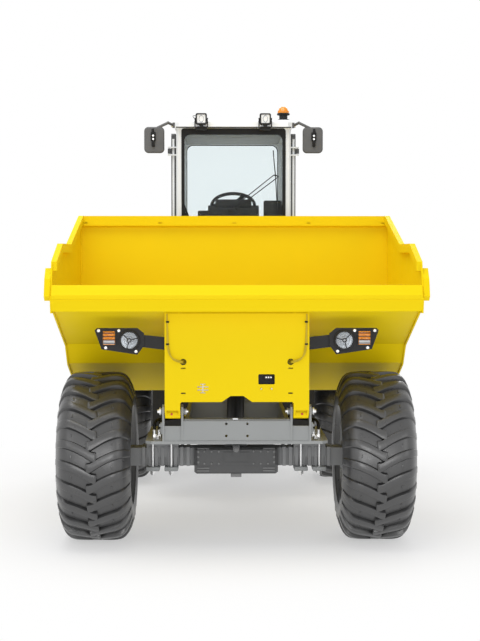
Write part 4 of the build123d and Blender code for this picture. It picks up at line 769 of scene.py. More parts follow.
def buildLamps():
    x, y, z = lampLook["centre"]
    front, inside = lampLook["bezelFront"], lampLook["inside"]
    axis = (0, -1, 0)
    dish = lathe([(0.0, 0.0), (0.0, 0.0515), (0.0085, 0.0545), (0.0085, 0.051), (0.004, 0.030), (0.0025, 0.012), (0.002, 0.0)],
                 (x, inside, z), axis, 40)
    put("lampReflectors", mirrored(dish), "lampSilver", "skip")
    rings = [lathe([(0.003, radius - 0.0035), (0.0085, radius - 0.002), (0.0085, radius + 0.002), (0.003, radius + 0.0035),
                    (0.003, radius - 0.0035)], (x, inside, z), axis, 40) for radius in lampLook["rings"]]
    rings.append(lathe([(0.002, 0.0), (0.002, 0.010), (0.009, 0.009), (0.011, 0.005), (0.0115, 0.0)], (x, inside, z), axis, 24))
    put("lampRings", mirrored(joined(rings)), "lampRing", "skip")
    lens = lathe([(0.009, 0.0), (0.009, 0.0545), (0.0105, 0.0545), (0.0125, 0.040), (0.0135, 0.020), (0.0138, 0.0)],
                 (x, inside, z), axis, 40)
    put("lampLenses", mirrored(lens), "lensGlass", "skip")
    guard = []
    for turn in lampLook["spokes"]:
        arm = block((0.008, -0.003, 0.0), (0.060, 0.003, 0.004), 0.0012)
        bmesh.ops.rotate(arm, verts=list(arm.verts), cent=(0, 0, 0), matrix=Matrix.Rotation(math.radians(turn), 3, "Z"))
        bmesh.ops.rotate(arm, verts=list(arm.verts), cent=(0, 0, 0), matrix=Matrix.Rotation(math.radians(90), 3, "X"))
        bmesh.ops.translate(arm, verts=list(arm.verts), vec=(x, front + 0.0005, z))
        guard.append(arm)
    hub = lathe([(-0.001, 0.009), (0.004, 0.009), (0.004, 0.013), (-0.001, 0.013), (-0.001, 0.009)], (x, front, z), axis, 24)
    put("lampGuards", mirrored(joined([*guard, hub])), "blackPlastic", "skip")

    frameRing = slabY(roundedOutline((0.793, 1.388), (0.887, 1.492), 0.008), -2.030, -2.0195,
                      roundedOutline((0.8, 1.395), (0.88, 1.485), 0.005))
    put("indicatorFrames", mirrored(frameRing), "blackPlastic", "skip")
    rib = lathe([(0.0, 0.0), (0.0, 0.0032), (0.070, 0.0032), (0.070, 0.0)], (-0.035, 0, 0), (1, 0, 0), 10)
    ribs = meshBack(repeated(rib, "row", "amberLens", Copies=7, First=(0.840, -2.0322, 1.430), Step=(0.0, 0.0, 0.0085),
                             Axis=(1.0, 0.0, 0.0), Spread=0.0, Seed=3))
    put("indicatorRibs", mirrored(ribs), "amberLens", "skip")
    bars = meshBack(repeated(block((-0.044, -0.002, -0.0022), (0.044, 0.004, 0.0022), 0.0008), "row", "blackPlastic", Copies=4,
                             First=(0.840, -2.0360, 1.406), Step=(0.0, 0.0, 0.0222), Axis=(1.0, 0.0, 0.0), Spread=0.0, Seed=13))
    put("indicatorBars", mirrored(bars), "blackPlastic", "skip")
    clear = block((0.803, -2.0345, 1.400), (0.877, -2.0318, 1.424), 0.001)
    put("sideLights", mirrored(clear), "lampRing", "skip")
    heads = [lathe([(0.0, 0.0), (0.0, 0.0115), (0.004, 0.0115), (0.008, 0.008), (0.009, 0.0)], (boltX, -2.0198, boltZ), axis, 16)
             for boltX, boltZ in ((0.664, 1.352), (0.776, 1.488), (0.908, 1.488), (0.862, 1.376))]
    put("lampPlateBolts", mirrored(joined(heads)), "zincBright", "skip")
    lead = pipe([(0.63, -1.990, 1.440), (0.600, -1.9895, 1.440), (0.540, -1.9895, 1.425), (0.490, -1.9890, 1.405),
                 (0.474, -1.980, 1.400)], 0.006, 8)
    put("lampLeads", mirrored(lead), "sealRubber", "skip")


buildLamps()
print("lamps made")


# Front frame: pin retainers, studs with clamp plates, plate bolts, a blank tag and fixed pipes with fittings
frontLook = {"pinY": -1.980, "pinZ": 0.950, "studX": (0.449, 0.577), "studY": (-1.612, -1.388), "studTop": 0.7352,
             "studLow": 0.462, "clampLow": 0.492, "clampHigh": 0.522}


def buildFrontTrims():
    pinY, pinZ = frontLook["pinY"], frontLook["pinZ"]
    collars = [lathe([(0.0, 0.0), (0.0, 0.026), (0.007, 0.026), (0.009, 0.024), (0.009, 0.0)], (0.5040, pinY, pinZ), (1, 0, 0), 28),
               hexBolt((0.513, pinY, pinZ), (1, 0, 0), 0.024, 0.013),
               lathe([(0.0, 0.0), (0.0, 0.023), (0.004, 0.023), (0.006, 0.020), (0.006, 0.0)], (0.3378, pinY, pinZ), (-1, 0, 0), 28),
               hexBolt((0.332, pinY, pinZ), (-1, 0, 0), 0.018, 0.010)]
    put("pinRetainers", mirrored(joined(collars)), "zincBright", "front_frame")
    keeper = [block((0.4932, pinY - 0.020, 0.800), (0.505, pinY + 0.022, 0.878), 0.003), hexBolt((0.505, pinY, 0.823), (1, 0, 0), 0.019, 0.010),
              hexBolt((0.505, pinY, 0.857), (1, 0, 0), 0.019, 0.010)]
    put("pinKeepers", mirrored(joined(keeper)), "frameGrey", "front_frame")

    studs, clamps, nuts = [], [], []
    for x in frontLook["studX"]:
        for y in frontLook["studY"]:
            length = frontLook["studTop"] - frontLook["studLow"]
            studs.append(lathe([(0.0, 0.0), (0.0, 0.0075), (0.003, 0.009), (length, 0.009), (length, 0.0)],
                               (x, y, frontLook["studLow"]), (0, 0, 1), 14))
            nuts.append(hexBolt((x, y, frontLook["clampLow"] + 0.001), (0, 0, -1), 0.034, 0.022))
        clamps.append(block((x - 0.047, -1.634, frontLook["clampLow"]), (x + 0.047, -1.366, frontLook["clampHigh"]), 0.006))
        clamps.append(block((x - 0.030, -1.560, frontLook["clampHigh"] - 0.002), (x + 0.030, -1.440, 0.5243), 0.001))
    put("axleStuds", mirrored(joined(studs + nuts)), "zincBright", "front_frame")
    put("axleClamps", mirrored(joined(clamps)), "frameGrey", "front_frame")

    tag = block((-0.028, -2.0125, 0.8985), (0.008, -2.0060, 0.9075), 0.001)
    put("blankTag", tag, "lampWhite", "front_frame")
    edgeBolts = boltRow((0.530, -1.900, 0.7549), (0.0, 0.060, 0.0), 3, (0.0, 0.0, 1.0), 0.024, 0.014, 4)
    put("basePlateBolts", mirrored(edgeBolts), "zincBright", "front_frame")
    welds = meshBack(repeated(lathe([(0.0, 0.0), (0.001, 0.004), (0.006, 0.005), (0.011, 0.004), (0.012, 0.0)], (-0.006, 0, 0),
                                    (1, 0, 0), 8), "row", "frameGrey", Copies=66, First=(-0.357, -2.0105, 0.7560),
                              Step=(0.011, 0.0, 0.0), Axis=(1.0, 0.0, 0.0), Spread=0.8, Seed=6))
    put("frontWeld", welds, "frameGrey", "front_frame")

    pipes, fittings = [], []
    for shift in (0.0, 0.034):
        start = (0.520 + shift, -1.820, 0.756)
        pipes.append(pipe([start, (0.520 + shift, -1.820, 0.800), (0.520 + shift, -1.810, 0.840), (0.515 + shift, -1.770, 0.858),
                           (0.500 + shift, -1.700, 0.862), (0.440 + shift, -1.640, 0.862), (0.360, -1.600 + shift, 0.862),
                           (0.344, -1.590 + shift, 0.862)], 0.010, 10))
        fittings.append(hexBolt((start[0], start[1], 0.7545), (0, 0, 1), 0.028, 0.022))
        fittings.append(lathe([(0.0, 0.0), (0.0, 0.013), (0.030, 0.013), (0.032, 0.011), (0.032, 0.0)], (start[0], start[1], 0.776),
                              (0, 0, 1), 16))
        fittings.append(hexBolt((0.3449, -1.590 + shift, 0.862), (1, 0, 0), 0.026, 0.014))
    put("framePipes", mirrored(joined(pipes)), "sealRubber", "front_frame")
    put("pipeFittings", mirrored(joined(fittings)), "zincBright", "front_frame")


buildFrontTrims()
print("front frame trims made")


# Axles: bars on the differential, cover bolts, a tab bolt and a lower bracket; the framed plate stays bare
axleLook = {"front": -1.500, "rear": 1.050, "z": 0.5855}


def buildAxleTrims():
    for name, y, body, face in (("front", axleLook["front"], "front_frame", -1), ("rear", axleLook["rear"], "rear_frame", 1)):
        z = axleLook["z"]
        bars = []
        for sign in (1, -1):
            low = 0.186 if sign > 0 else -0.270
            for height, out in ((z - 0.074, 0.112), (z - 0.093, 0.112)):
                edge = y + face * out
                bars.append(block((low, min(edge, edge + face * 0.006), height - 0.004),
                                  (low + 0.084, max(edge - face * 0.002, edge + face * 0.006), height + 0.004), 0.0015))
            edge = y + face * 0.118
            bars.append(block((low, min(edge, edge - face * 0.03), z + 0.0555), (low + 0.084, max(edge, edge - face * 0.03), z + 0.066), 0.0015))
        lower = y + face * 0.070
        bars.append(block((-0.037, min(lower, lower + face * 0.03), z - 0.140), (0.037, max(lower, lower + face * 0.03), z - 0.1155), 0.004))
        put(f"{name}AxleBars", joined(bars), "castPale", body)
        edge = y + face * 0.1301
        bolts = [boltRow((side * 0.262, edge, z - 0.030), (0.0, 0.0, 0.036), 3, (0.0, float(face), 0.0), 0.015, 0.008, 7)
                 for side in (1, -1)]
        bolts += [boltRow((side * 0.120, edge, z + rise), (side * 0.050, 0.0, 0.0), 3, (0.0, float(face), 0.0), 0.013, 0.007, 8)
                  for side in (1, -1) for rise in (-0.040, 0.044)]
        put(f"{name}CoverBolts", joined(bolts), "castPale", body)
    tabBolt = joined([lathe([(0.0, 0.0), (0.0, 0.020), (0.004, 0.020), (0.005, 0.018), (0.005, 0.0)], (0.0, -1.6421, 0.6455), (0, -1, 0), 24),
                      hexBolt((0.0, -1.647, 0.6455), (0, -1, 0), 0.022, 0.010)])
    put("tabBolt", tabBolt, "castPale", "front_frame")


buildAxleTrims()
print("axle trims made")


# Cab: window seals, headliner, work lamp lenses, beacon ribs, mirror glass, wiper rubber, door trims
cabLook = {"half": 0.468, "inner": 0.413, "front": 0.100, "rear": 1.250, "windowLow": 1.790, "windowHigh": 2.985,
           "corner": 0.060, "top": 3.022, "roofTop": 3.090, "roofFront": 0.058}


def buildCabTrims():
    inner, low, high = cabLook["inner"], cabLook["windowLow"], cabLook["windowHigh"]
    def opening(inset):
        return roundedOutline((-inner + inset, low + inset), (inner - inset, high - inset), cabLook["corner"] - inset)

    edge = roundedOutline((-inner - 0.013, low - 0.013), (inner + 0.013, cabLook["top"] - 0.001), 0.022)
    seal = [slabY(edge, 0.0945, 0.0998, opening(0.004)), slabY(opening(0.004), 0.0950, 0.1178, opening(0.012))]
    put("frontSeal", joined(seal), "sealRubber", "rear_frame", 60.0)
    for name, front, back, outset, inset in (("frontBorder", 0.1245, 0.154, 0.002, 0.012), ("rearSeal", 1.2322, 1.2545, -0.010, 0.006)):
        put(name, slabY(opening(outset), front, back, opening(inset)), "sealRubber", "rear_frame", 60.0)

    liner = [block((-0.410, 0.157, 2.986), (0.410, 1.193, 3.0205), 0.006, 3)]
    for x in (-0.290, 0.290):
        oval = lathe([(0.0, 0.0), (0.0, 0.075), (0.004, 0.073), (0.005, 0.064), (0.002, 0.058), (0.003, 0.0)], (0, 0, 0), (0, 0, -1), 40)
        for vert in oval.verts:
            vert.co = Vector((vert.co.x + x, vert.co.y * 1.9 + 0.400, vert.co.z + 2.9865))
        liner.append(oval)
    liner.append(pipe([(-0.200, 0.175, 2.987), (-0.170, 0.260, 2.987), (-0.150, 0.420, 2.987), (-0.110, 0.470, 2.987), (0.110, 0.470, 2.987),
                       (0.150, 0.420, 2.987), (0.170, 0.260, 2.987), (0.200, 0.175, 2.987)], 0.004, 8))
    put("headliner", joined(liner), "headliner", "rear_frame")

    skirt = slabY([(-0.470, 3.0225), (0.470, 3.0225), (0.470, 3.031), (-0.470, 3.031)], 0.0565, 0.0578)
    put("roofSeam", skirt, "sealRubber", "rear_frame")

    lampY, lampZ = -0.0142, 3.042
    for name, x in (("Right", -0.262), ("Left", 0.256)):
        low, high = (x - 0.034, lampZ + 0.012), (x + 0.034, lampZ + 0.080)
        put(f"workLens{name}", slabY(roundedOutline(low, high, 0.008), lampY - 0.0010, lampY + 0.002), "lampWhite", "rear_frame")
        shape = [slabY(roundedOutline((x - 0.0425, lampZ + 0.0035), (x + 0.0425, lampZ + 0.0885), 0.013), lampY - 0.005, lampY + 0.003,
                       roundedOutline(low, high, 0.008))]
        shape += [block((x - 0.055, lampY + 0.022, lampZ - 0.016), (x - 0.0465, lampY + 0.044, lampZ + 0.056), 0.002),
                  block((x + 0.0465, lampY + 0.022, lampZ - 0.016), (x + 0.055, lampY + 0.044, lampZ + 0.056), 0.002),
                  block((x - 0.055, lampY + 0.020, lampZ - 0.022), (x + 0.055, lampY + 0.046, lampZ - 0.014), 0.002),
                  block((x - 0.046, 0.030, lampZ - 0.042), (x + 0.046, 0.0577, lampZ - 0.019), 0.004)]
        put(f"workFrame{name}", joined(shape), "blackPlastic", "rear_frame")
        oval = lathe([(0.0, 0.020), (0.0025, 0.021), (0.0025, 0.024), (0.0, 0.025), (0.0, 0.020)], (0, 0, 0), (0, -1, 0), 32)
        for vert in oval.verts:
            vert.co = Vector((vert.co.x * 0.8 + x, vert.co.y + lampY - 0.0008, vert.co.z * 1.2 + lampZ + 0.046))
        put(f"workOval{name}", oval, "lampSilver", "rear_frame")
    loop = pipe([(-0.3085, 0.010, 3.090), (-0.322, 0.010, 3.096), (-0.330, 0.010, 3.106), (-0.326, 0.010, 3.116), (-0.3085, 0.010, 3.114)],
                0.0025, 8)
    put("lampLead", loop, "sealRubber", "rear_frame")

    centre = (0.411, 0.190, cabLook["roofTop"])
    rib = block((0.0435, -0.0022, 0.064), (0.0465, 0.0022, 0.083), 0.0008)
    ribs = repeated(rib, "ring", "amberLens", Copies=24, Centre=centre, Axis=(0.0, 0.0, 1.0), Start=0.0)
    dress("beaconRibs", ribs, "amberLens", "rear_frame")
    put("beaconCollar", lathe([(0.050, 0.047), (0.050, 0.0525), (0.060, 0.0525), (0.064, 0.049), (0.064, 0.047), (0.050, 0.047)],
                              centre, (0, 0, 1), 48), "sealRubber", "rear_frame")

    mirrorLow, mirrorHigh = (0.563, 2.818), (0.725, 3.027)
    inset = 0.012
    face = roundedOutline((mirrorLow[0] + inset, mirrorLow[1] + inset), (mirrorHigh[0] - inset, mirrorHigh[1] - inset), 0.026)
    put("mirrorGlasses", mirrored(slabY(face, 0.0852, 0.0868)), "mirrorGlass", "rear_frame")
    lip = roundedOutline((mirrorLow[0] - 0.001, mirrorLow[1] - 0.001), (mirrorHigh[0] + 0.001, mirrorHigh[1] + 0.001), 0.034)
    put("mirrorRims", mirrored(slabY(lip, 0.0545, 0.0620, face)), "mirrorRim", "rear_frame")
    boss = [block((0.632, 0.032, 2.912), (0.672, 0.0475, 2.985), 0.006), block((0.640, 0.024, 2.866), (0.664, 0.0475, 2.922), 0.005),
            pipe([(0.655, 0.0455, 3.010), (0.655, 0.036, 2.990), (0.655, 0.034, 2.950), (0.655, 0.034, 2.930)], 0.010, 10)]
    put("mirrorBosses", mirrored(joined(boss)), "sealRubber", "rear_frame")
    bolts = [hexBolt((0.652, 0.032, z), (0, -1, 0), 0.016, 0.009) for z in (2.928, 2.955)]
    bolts.append(lathe([(0.0, 0.0), (0.0, 0.0145), (0.010, 0.0145), (0.012, 0.012), (0.012, 0.0)], (0.4978, 0.130, 3.046), (1, 0, 0), 16))
    put("mirrorBolts", mirrored(joined(bolts)), "zincBright", "rear_frame")

    ends = {"upper": (0.325, 0.094, 2.639), "lower": (0.367, 0.094, 2.629)}
    feet = {"upper": (-0.031, 0.094, 2.356), "lower": (0.026, 0.094, 2.372)}
    arms = [pipe([ends["upper"], (0.346, 0.094, 2.645), ends["lower"]], 0.0055, 8)]
    for key in ends:
        start, stop = Vector(feet[key]), Vector(ends[key])
        arms.append(pipe([start, start.lerp(stop, 0.3), start.lerp(stop, 0.7), stop], 0.0045, 8))
        arms.append(lathe([(-0.024, 0.0), (-0.024, 0.012), (0.004, 0.012), (0.007, 0.008), (0.007, 0.0)], start, (0, -1, 0), 20))
    arms.append(pipe([(0.325, 0.104, 2.844), (0.332, 0.102, 2.740), (0.344, 0.100, 2.640), (0.352, 0.102, 2.480), (0.360, 0.104, 2.340)],
                     0.0042, 8))
    arms.append(lathe([(-0.010, 0.0), (-0.010, 0.008), (0.006, 0.008), (0.006, 0.0)], (0.344, 0.094, 2.638), (0, -1, 0), 16))
    wiper = put("wiperArms", joined(arms), "blackPaint", "rear_frame")
    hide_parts("wiper")
    rubber = pipe([(0.325, 0.112, 2.844), (0.332, 0.112, 2.740), (0.344, 0.112, 2.640), (0.352, 0.112, 2.480), (0.360, 0.112, 2.340)], 0.0045, 8)
    put("wiperRubber", rubber, "sealRubber", "rear_frame")


def buildDoorTrims():
    for side, sign in (("left", 1), ("right", -1)):
        body = f"door_{side}"
        name = side.title()
        seal = slabX(roundedOutline((0.168, 1.498), (1.182, 2.984), 0.028), 0.4735, 0.4762, roundedOutline((0.200, 1.530), (1.150, 2.952), 0.050), sign)
        put(f"doorSeal{name}", seal, "sealRubber", body, 60.0)
        handle = [block((0.5105, 1.060, 2.060), (0.5300, 1.085, 2.090), 0.003), block((0.5105, 1.060, 2.210), (0.5300, 1.085, 2.240), 0.003),
                  block((0.522, 1.058, 2.050), (0.540, 1.087, 2.250), 0.006)]
        latch = [block((0.4600, 1.085, 2.020), (0.4765, 1.150, 2.120), 0.004)]
        grip = [pipe([(0.476, 1.02, 1.80), (0.440, 1.02, 1.80), (0.425, 1.00, 1.80), (0.422, 0.90, 1.80), (0.422, 0.60, 1.80), (0.425, 0.52, 1.80),
                      (0.440, 0.50, 1.80), (0.476, 0.50, 1.80)], 0.012, 10)]
        bar = [block((0.4755, 0.160, 1.782), (0.5115, 1.190, 1.818), 0.004)]
        edge = block((0.4855, 0.1592, 1.560), (0.5015, 0.1608, 2.940), 0.0004)
        if sign < 0:
            for vert in edge.verts:
                vert.co.x = -vert.co.x
        put(f"doorEdge{name}", edge, "cabGrey", body)
        shapes = joined(handle + latch + grip + bar)
        if sign < 0:
            for vert in shapes.verts:
                vert.co.x = -vert.co.x
        put(f"doorHandle{name}", shapes, "blackPlastic", body)


def slabX(outline, near, far, hole, sign):
    bm = slabY(outline, near, far, hole)
    for vert in bm.verts:
        vert.co = Vector((sign * vert.co.y, vert.co.x, vert.co.z))
    return bm


buildCabTrims()
buildDoorTrims()
print("cab trims made")


# Inside the cab: instrument pod, switches, levers, screen glass and column boot
insideLook = {"dashTop": 2.400, "dashFront": 0.160, "dashRear": 0.330}


def buildInside():
    pod = [block((-0.150, 0.205, 2.375), (0.150, 0.325, 2.450), 0.018, 3), block((-0.205, 0.150, 2.300), (0.205, 0.205, 2.380), 0.015, 3),
           block((-0.294, 0.170, 2.240), (-0.150, 0.300, 2.356), 0.012, 3)]
    gusset = slabY([(0.426, 2.300), (0.360, 2.300), (0.426, 2.470)], 0.1250, 0.1500)
    put("cornerGussets", mirrored(gusset), "sealRubber", "rear_frame")
    for x in (-0.075, 0.075):
        pod.append(lathe([(0.0, 0.038), (0.004, 0.040), (0.010, 0.040), (0.010, 0.036), (0.0, 0.036), (0.0, 0.038)], (x, 0.3248, 2.412), (0, 1, 0), 32))
    put("instrumentPod", joined(pod), "dashPlastic", "rear_frame")
    dials = [lathe([(0.0, 0.0), (0.0, 0.036), (0.002, 0.036), (0.002, 0.0)], (x, 0.3245, 2.412), (0, 1, 0), 32) for x in (-0.075, 0.075)]
    put("dialFaces", joined(dials), "screenDark", "rear_frame")
    switch = block((-0.011, -0.005, -0.016), (0.011, 0.007, 0.016), 0.003)
    switches = meshBack(repeated(switch, "row", "dashPlastic", Copies=6, First=(-0.150, 0.331, 2.280), Step=(0.030, 0.0, 0.0),
                                 Axis=(1.0, 0.0, 0.0), Spread=0.25, Seed=9))
    others = meshBack(repeated(block((-0.011, -0.005, -0.016), (0.011, 0.007, 0.016), 0.003), "row", "dashPlastic", Copies=6,
                               First=(-0.150, 0.331, 2.235), Step=(0.030, 0.0, 0.0), Axis=(1.0, 0.0, 0.0), Spread=0.25, Seed=10))
    put("dashSwitches", joined([switches, others]), "blackPlastic", "rear_frame")
    levers = [pipe([(0.0, 0.355, 2.285), (-0.06, 0.362, 2.300), (-0.14, 0.372, 2.322), (-0.180, 0.378, 2.335)], 0.006, 8),
              pipe([(0.0, 0.355, 2.285), (0.06, 0.362, 2.300), (0.14, 0.372, 2.322), (0.180, 0.378, 2.335)], 0.006, 8),
              lathe([(0.0, 0.0), (0.002, 0.010), (0.040, 0.012), (0.046, 0.008), (0.047, 0.0)], (-0.165, 0.3755, 2.330), (-0.95, 0.12, 0.28), 14),
              lathe([(0.0, 0.0), (0.002, 0.010), (0.040, 0.012), (0.046, 0.008), (0.047, 0.0)], (0.165, 0.3755, 2.330), (0.95, 0.12, 0.28), 14)]
    boot = lathe([(-0.160, 0.0), (-0.160, 0.050), (-0.140, 0.060), (-0.120, 0.050), (-0.100, 0.056), (-0.082, 0.046), (-0.066, 0.050),
                  (-0.050, 0.040), (-0.050, 0.0)], (0.0, 0.430, 2.410), (0, math.sin(math.radians(30)), math.cos(math.radians(30))), 28)
    put("columnLevers", joined([*levers, boot]), "sealRubber", "rear_frame")
    screen = slabY(roundedOutline((0.262, 2.302), (0.388, 2.428), 0.008), 0.2448, 0.2466)
    put("displayGlass", screen, "screenDark", "rear_frame")
    console = [block((0.285, 0.560, 1.4795), (0.405, 1.100, 1.900), 0.020, 3), block((-0.405, 0.560, 1.4795), (-0.300, 1.100, 1.880), 0.020, 3),
               block((0.290, 0.600, 1.955), (0.400, 0.980, 2.020), 0.022, 3), block((0.325, 0.780, 1.890), (0.365, 0.860, 1.965), 0.006)]
    put("sideConsoles", joined(console), "dashPlastic", "rear_frame")
    stick = [lathe([(0.0, 0.0), (0.0, 0.034), (0.012, 0.030), (0.030, 0.018), (0.045, 0.012), (0.090, 0.010), (0.094, 0.018), (0.130, 0.024),
                    (0.168, 0.021), (0.180, 0.010), (0.182, 0.0)], (0.345, 0.640, 2.018), (0, -0.12, 1), 24)]
    put("joystick", joined(stick), "sealRubber", "rear_frame")
    pedals = [block((x - 0.045, 0.262, 1.520), (x + 0.045, 0.275, 1.640), 0.004) for x in (-0.13, 0.13)]
    pedals += [block((x - 0.012, 0.246, 1.560), (x + 0.012, 0.266, 1.600), 0.003) for x in (-0.13, 0.13)]
    put("pedals", joined(pedals), "sealRubber", "rear_frame")
    tread = block((-0.390, 0.270, 1.4802), (0.390, 0.590, 1.4860), 0.002)
    bead = block((-0.370, -0.004, 0.0), (0.370, 0.004, 0.004), 0.0012)
    beads = meshBack(repeated(bead, "row", "sealRubber", Copies=14, First=(0.0, 0.290, 1.485), Step=(0.0, 0.0215, 0.0), Axis=(1.0, 0.0, 0.0),
                              Spread=0.0, Seed=11))
    put("floorMat", joined([tread, beads]), "sealRubber", "rear_frame")


buildInside()
print("cab inside made")


# Seat: two cushions blown up by cloth pressure with sewn channels, on a shell with a bellows
seatLook = {"voxel": 0.006, "pressure": 4.0, "frames": 20, "cap": 0.024, "channel": 0.010, "channelHalf": 0.014,
            "panelHalf": 0.150, "crossZ": 2.165}


def evaluated(piece):
    return bpy.data.meshes.new_from_object(piece.evaluated_get(bpy.context.evaluated_depsgraph_get()))


def channelShare(distance):
    share = abs(distance) / seatLook["channelHalf"]
    return (1 - share ** 2) ** 2 if share < 1 else 0.0


def cushionChannel(place):
    share = channelShare(abs(place.x) - seatLook["panelHalf"]) if place.z > 1.900 or place.y < 0.66 else 0.0
    return share, Vector((0, 0.4, -1)) if place.z > 1.93 else Vector((0, 1, 0)), place.z < 1.866


def backChannel(place):
    share = channelShare(abs(place.x) - seatLook["panelHalf"] + 0.012)
    if abs(place.x) < seatLook["panelHalf"] - 0.012:
        share = max(share, channelShare(place.z - seatLook["crossZ"]))
    share = share if place.y < 1.105 or place.z > 2.30 else 0.0
    return share, Vector((0, 1, -0.15)), place.y > 1.150


def paddedCushion(name, bm, channel):
    mesh = bpy.data.meshes.new(name)
    bm.to_mesh(mesh)
    bm.free()
    mesh.materials.append(finishes["vinyl"])
    piece = bpy.data.objects.new(name, mesh)
    bpy.context.collection.objects.link(piece)
    remesh = piece.modifiers.new("remesh", "REMESH")
    remesh.mode = "VOXEL"
    remesh.voxel_size = seatLook["voxel"]
    piece.data = evaluated(piece)
    piece.modifiers.clear()
    pinned = piece.vertex_groups.new(name="pinned")
    for vert in piece.data.vertices:
        share, way, rests = channel(vert.co)
        vert.co = vert.co + way.normalized() * (share * seatLook["channel"])
        if share > 0.25 or rests:
            pinned.add([vert.index], 1.0, "REPLACE")
    started = [vert.co.copy() for vert in piece.data.vertices]
    cloth = piece.modifiers.new("cloth", "CLOTH")
    cloth.settings.quality = 5
    cloth.settings.use_pressure = True
    cloth.settings.uniform_pressure_force = seatLook["pressure"]
    cloth.settings.vertex_group_mass = "pinned"
    cloth.settings.effector_weights.gravity = 0
    cloth.point_cache.frame_start = 1
    cloth.point_cache.frame_end = seatLook["frames"]
    for step in range(1, seatLook["frames"] + 1):
        bpy.context.scene.frame_set(step)
    piece.data = evaluated(piece)
    piece.modifiers.clear()
    bpy.context.scene.frame_set(1)
    for vert, start in zip(piece.data.vertices, started):
        moved = vert.co - start
        vert.co = start + moved.normalized() * min(moved.length, seatLook["cap"])
    smooth = piece.modifiers.new("subdivision", "SUBSURF")
    smooth.levels = 1
    piece.data = evaluated(piece)
    piece.modifiers.clear()
    piece.vertex_groups.clear()
    piece.data.materials.clear()
    piece.data.materials.append(finishes["vinyl"])
    piece.data.shade_smooth()
    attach(piece, "rear_frame")
    return piece


def buildSeat():
    base = block((-0.232, 0.625, 1.862), (0.232, 1.055, 1.948), 0.034, 4)
    for vert in base.verts:
        if vert.co.z > 1.93:
            vert.co.z += 0.016 * min(1.0, max(0.0, abs(vert.co.x) - 0.12) / 0.1)
    cushion = paddedCushion("seatCushion", base, cushionChannel)
    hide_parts("operator_seat")
    rest = block((-0.222, 1.078, 1.985), (0.222, 1.152, 2.318), 0.034, 4)
    for vert in rest.verts:
        vert.co.x *= 1 - 0.12 * max(0.0, (vert.co.z - 2.15) / 0.17)
    paddedCushion("seatBack", rest, backChannel)

    shell = [block((-0.215, 0.640, 1.838), (0.215, 1.060, 1.868), 0.012, 3), block((-0.205, 1.148, 1.960), (0.205, 1.168, 2.300), 0.009, 3),
             block((-0.060, 1.030, 1.840), (0.060, 1.166, 1.985), 0.012, 3), block((-0.160, 0.690, 1.4805), (0.160, 1.030, 1.580), 0.015, 3)]
    put("seatShell", joined(shell), "dashPlastic", "rear_frame")
    ridge = lathe([(-0.021, 0.0), (-0.021, 0.20), (-0.004, 0.226), (0.004, 0.226), (0.021, 0.20), (0.021, 0.0)], (0, 0, 0), (0, 0, 1), 4)
    bmesh.ops.rotate(ridge, verts=list(ridge.verts), cent=(0, 0, 0), matrix=Matrix.Rotation(math.radians(45), 3, "Z"))
    bellows = repeated(ridge, "row", "sealRubber", Copies=6, First=(0.0, 0.860, 1.604), Step=(0.0, 0.0, 0.042), Axis=(0.0, 0.0, 1.0),
                       Spread=0.0, Seed=12)
    dress("seatBellows", bellows, "sealRubber", "rear_frame")
    knob = [lathe([(0.0, 0.0), (0.0, 0.022), (0.020, 0.020), (0.022, 0.0)], (0.212, 0.760, 1.853), (1, 0, 0), 20),
            pipe([(-0.214, 0.700, 1.853), (-0.236, 0.690, 1.853), (-0.240, 0.660, 1.853), (-0.240, 0.630, 1.853)], 0.007, 8)]
    put("seatControls", joined(knob), "blackPlastic", "rear_frame")


buildSeat()
print("seat made")


# Rear end: bonnet latches, tail lamp frames and the filler cap

def buildRearTrims():
    latch = [block((0.4795, 2.020, 1.330), (0.4890, 2.075, 1.420), 0.003), block((0.4870, 2.030, 1.345), (0.4960, 2.065, 1.405), 0.003)]
    put("bonnetLatches", mirrored(joined(latch)), "blackPlastic", "bonnet")
    for name, sign in (("Left", 1), ("Right", -1)):
        low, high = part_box("tail_lamps")
        outer, inner = sign * high[0], sign * (high[0] - 0.120)
        lowX, highX = min(outer, inner), max(outer, inner)
        ring = slabY(roundedOutline((lowX - 0.006, low[2] - 0.006), (highX + 0.006, high[2] + 0.006), 0.006), low[1] + 0.0002, low[1] + 0.012,
                     roundedOutline((lowX, low[2]), (highX, high[2]), 0.002))
        put(f"tailFrame{name}", ring, "blackPlastic", "rear_frame")
    cap = lathe([(-0.002, 0.0), (-0.002, 0.052), (0.004, 0.055), (0.030, 0.052), (0.034, 0.046), (0.034, 0.0)], (0, 0, 0), (0, 0, 1), 36)
    ribs = meshBack(repeated(block((0.0500, -0.004, 0.004), (0.0555, 0.004, 0.029), 0.0015), "ring", "blackPlastic", Copies=16,
                             Centre=(0.0, 0.0, 0.0), Axis=(0.0, 0.0, 1.0), Start=0.0))
    filler = joined([cap, ribs])
    low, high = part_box("side_tanks")
    bmesh.ops.translate(filler, verts=list(filler.verts), vec=(high[0] - 0.090, low[1] + 0.110, high[2]))
    put("fillerCap", filler, "blackPlastic", "rear_frame")


buildRearTrims()
print("rear trims made")

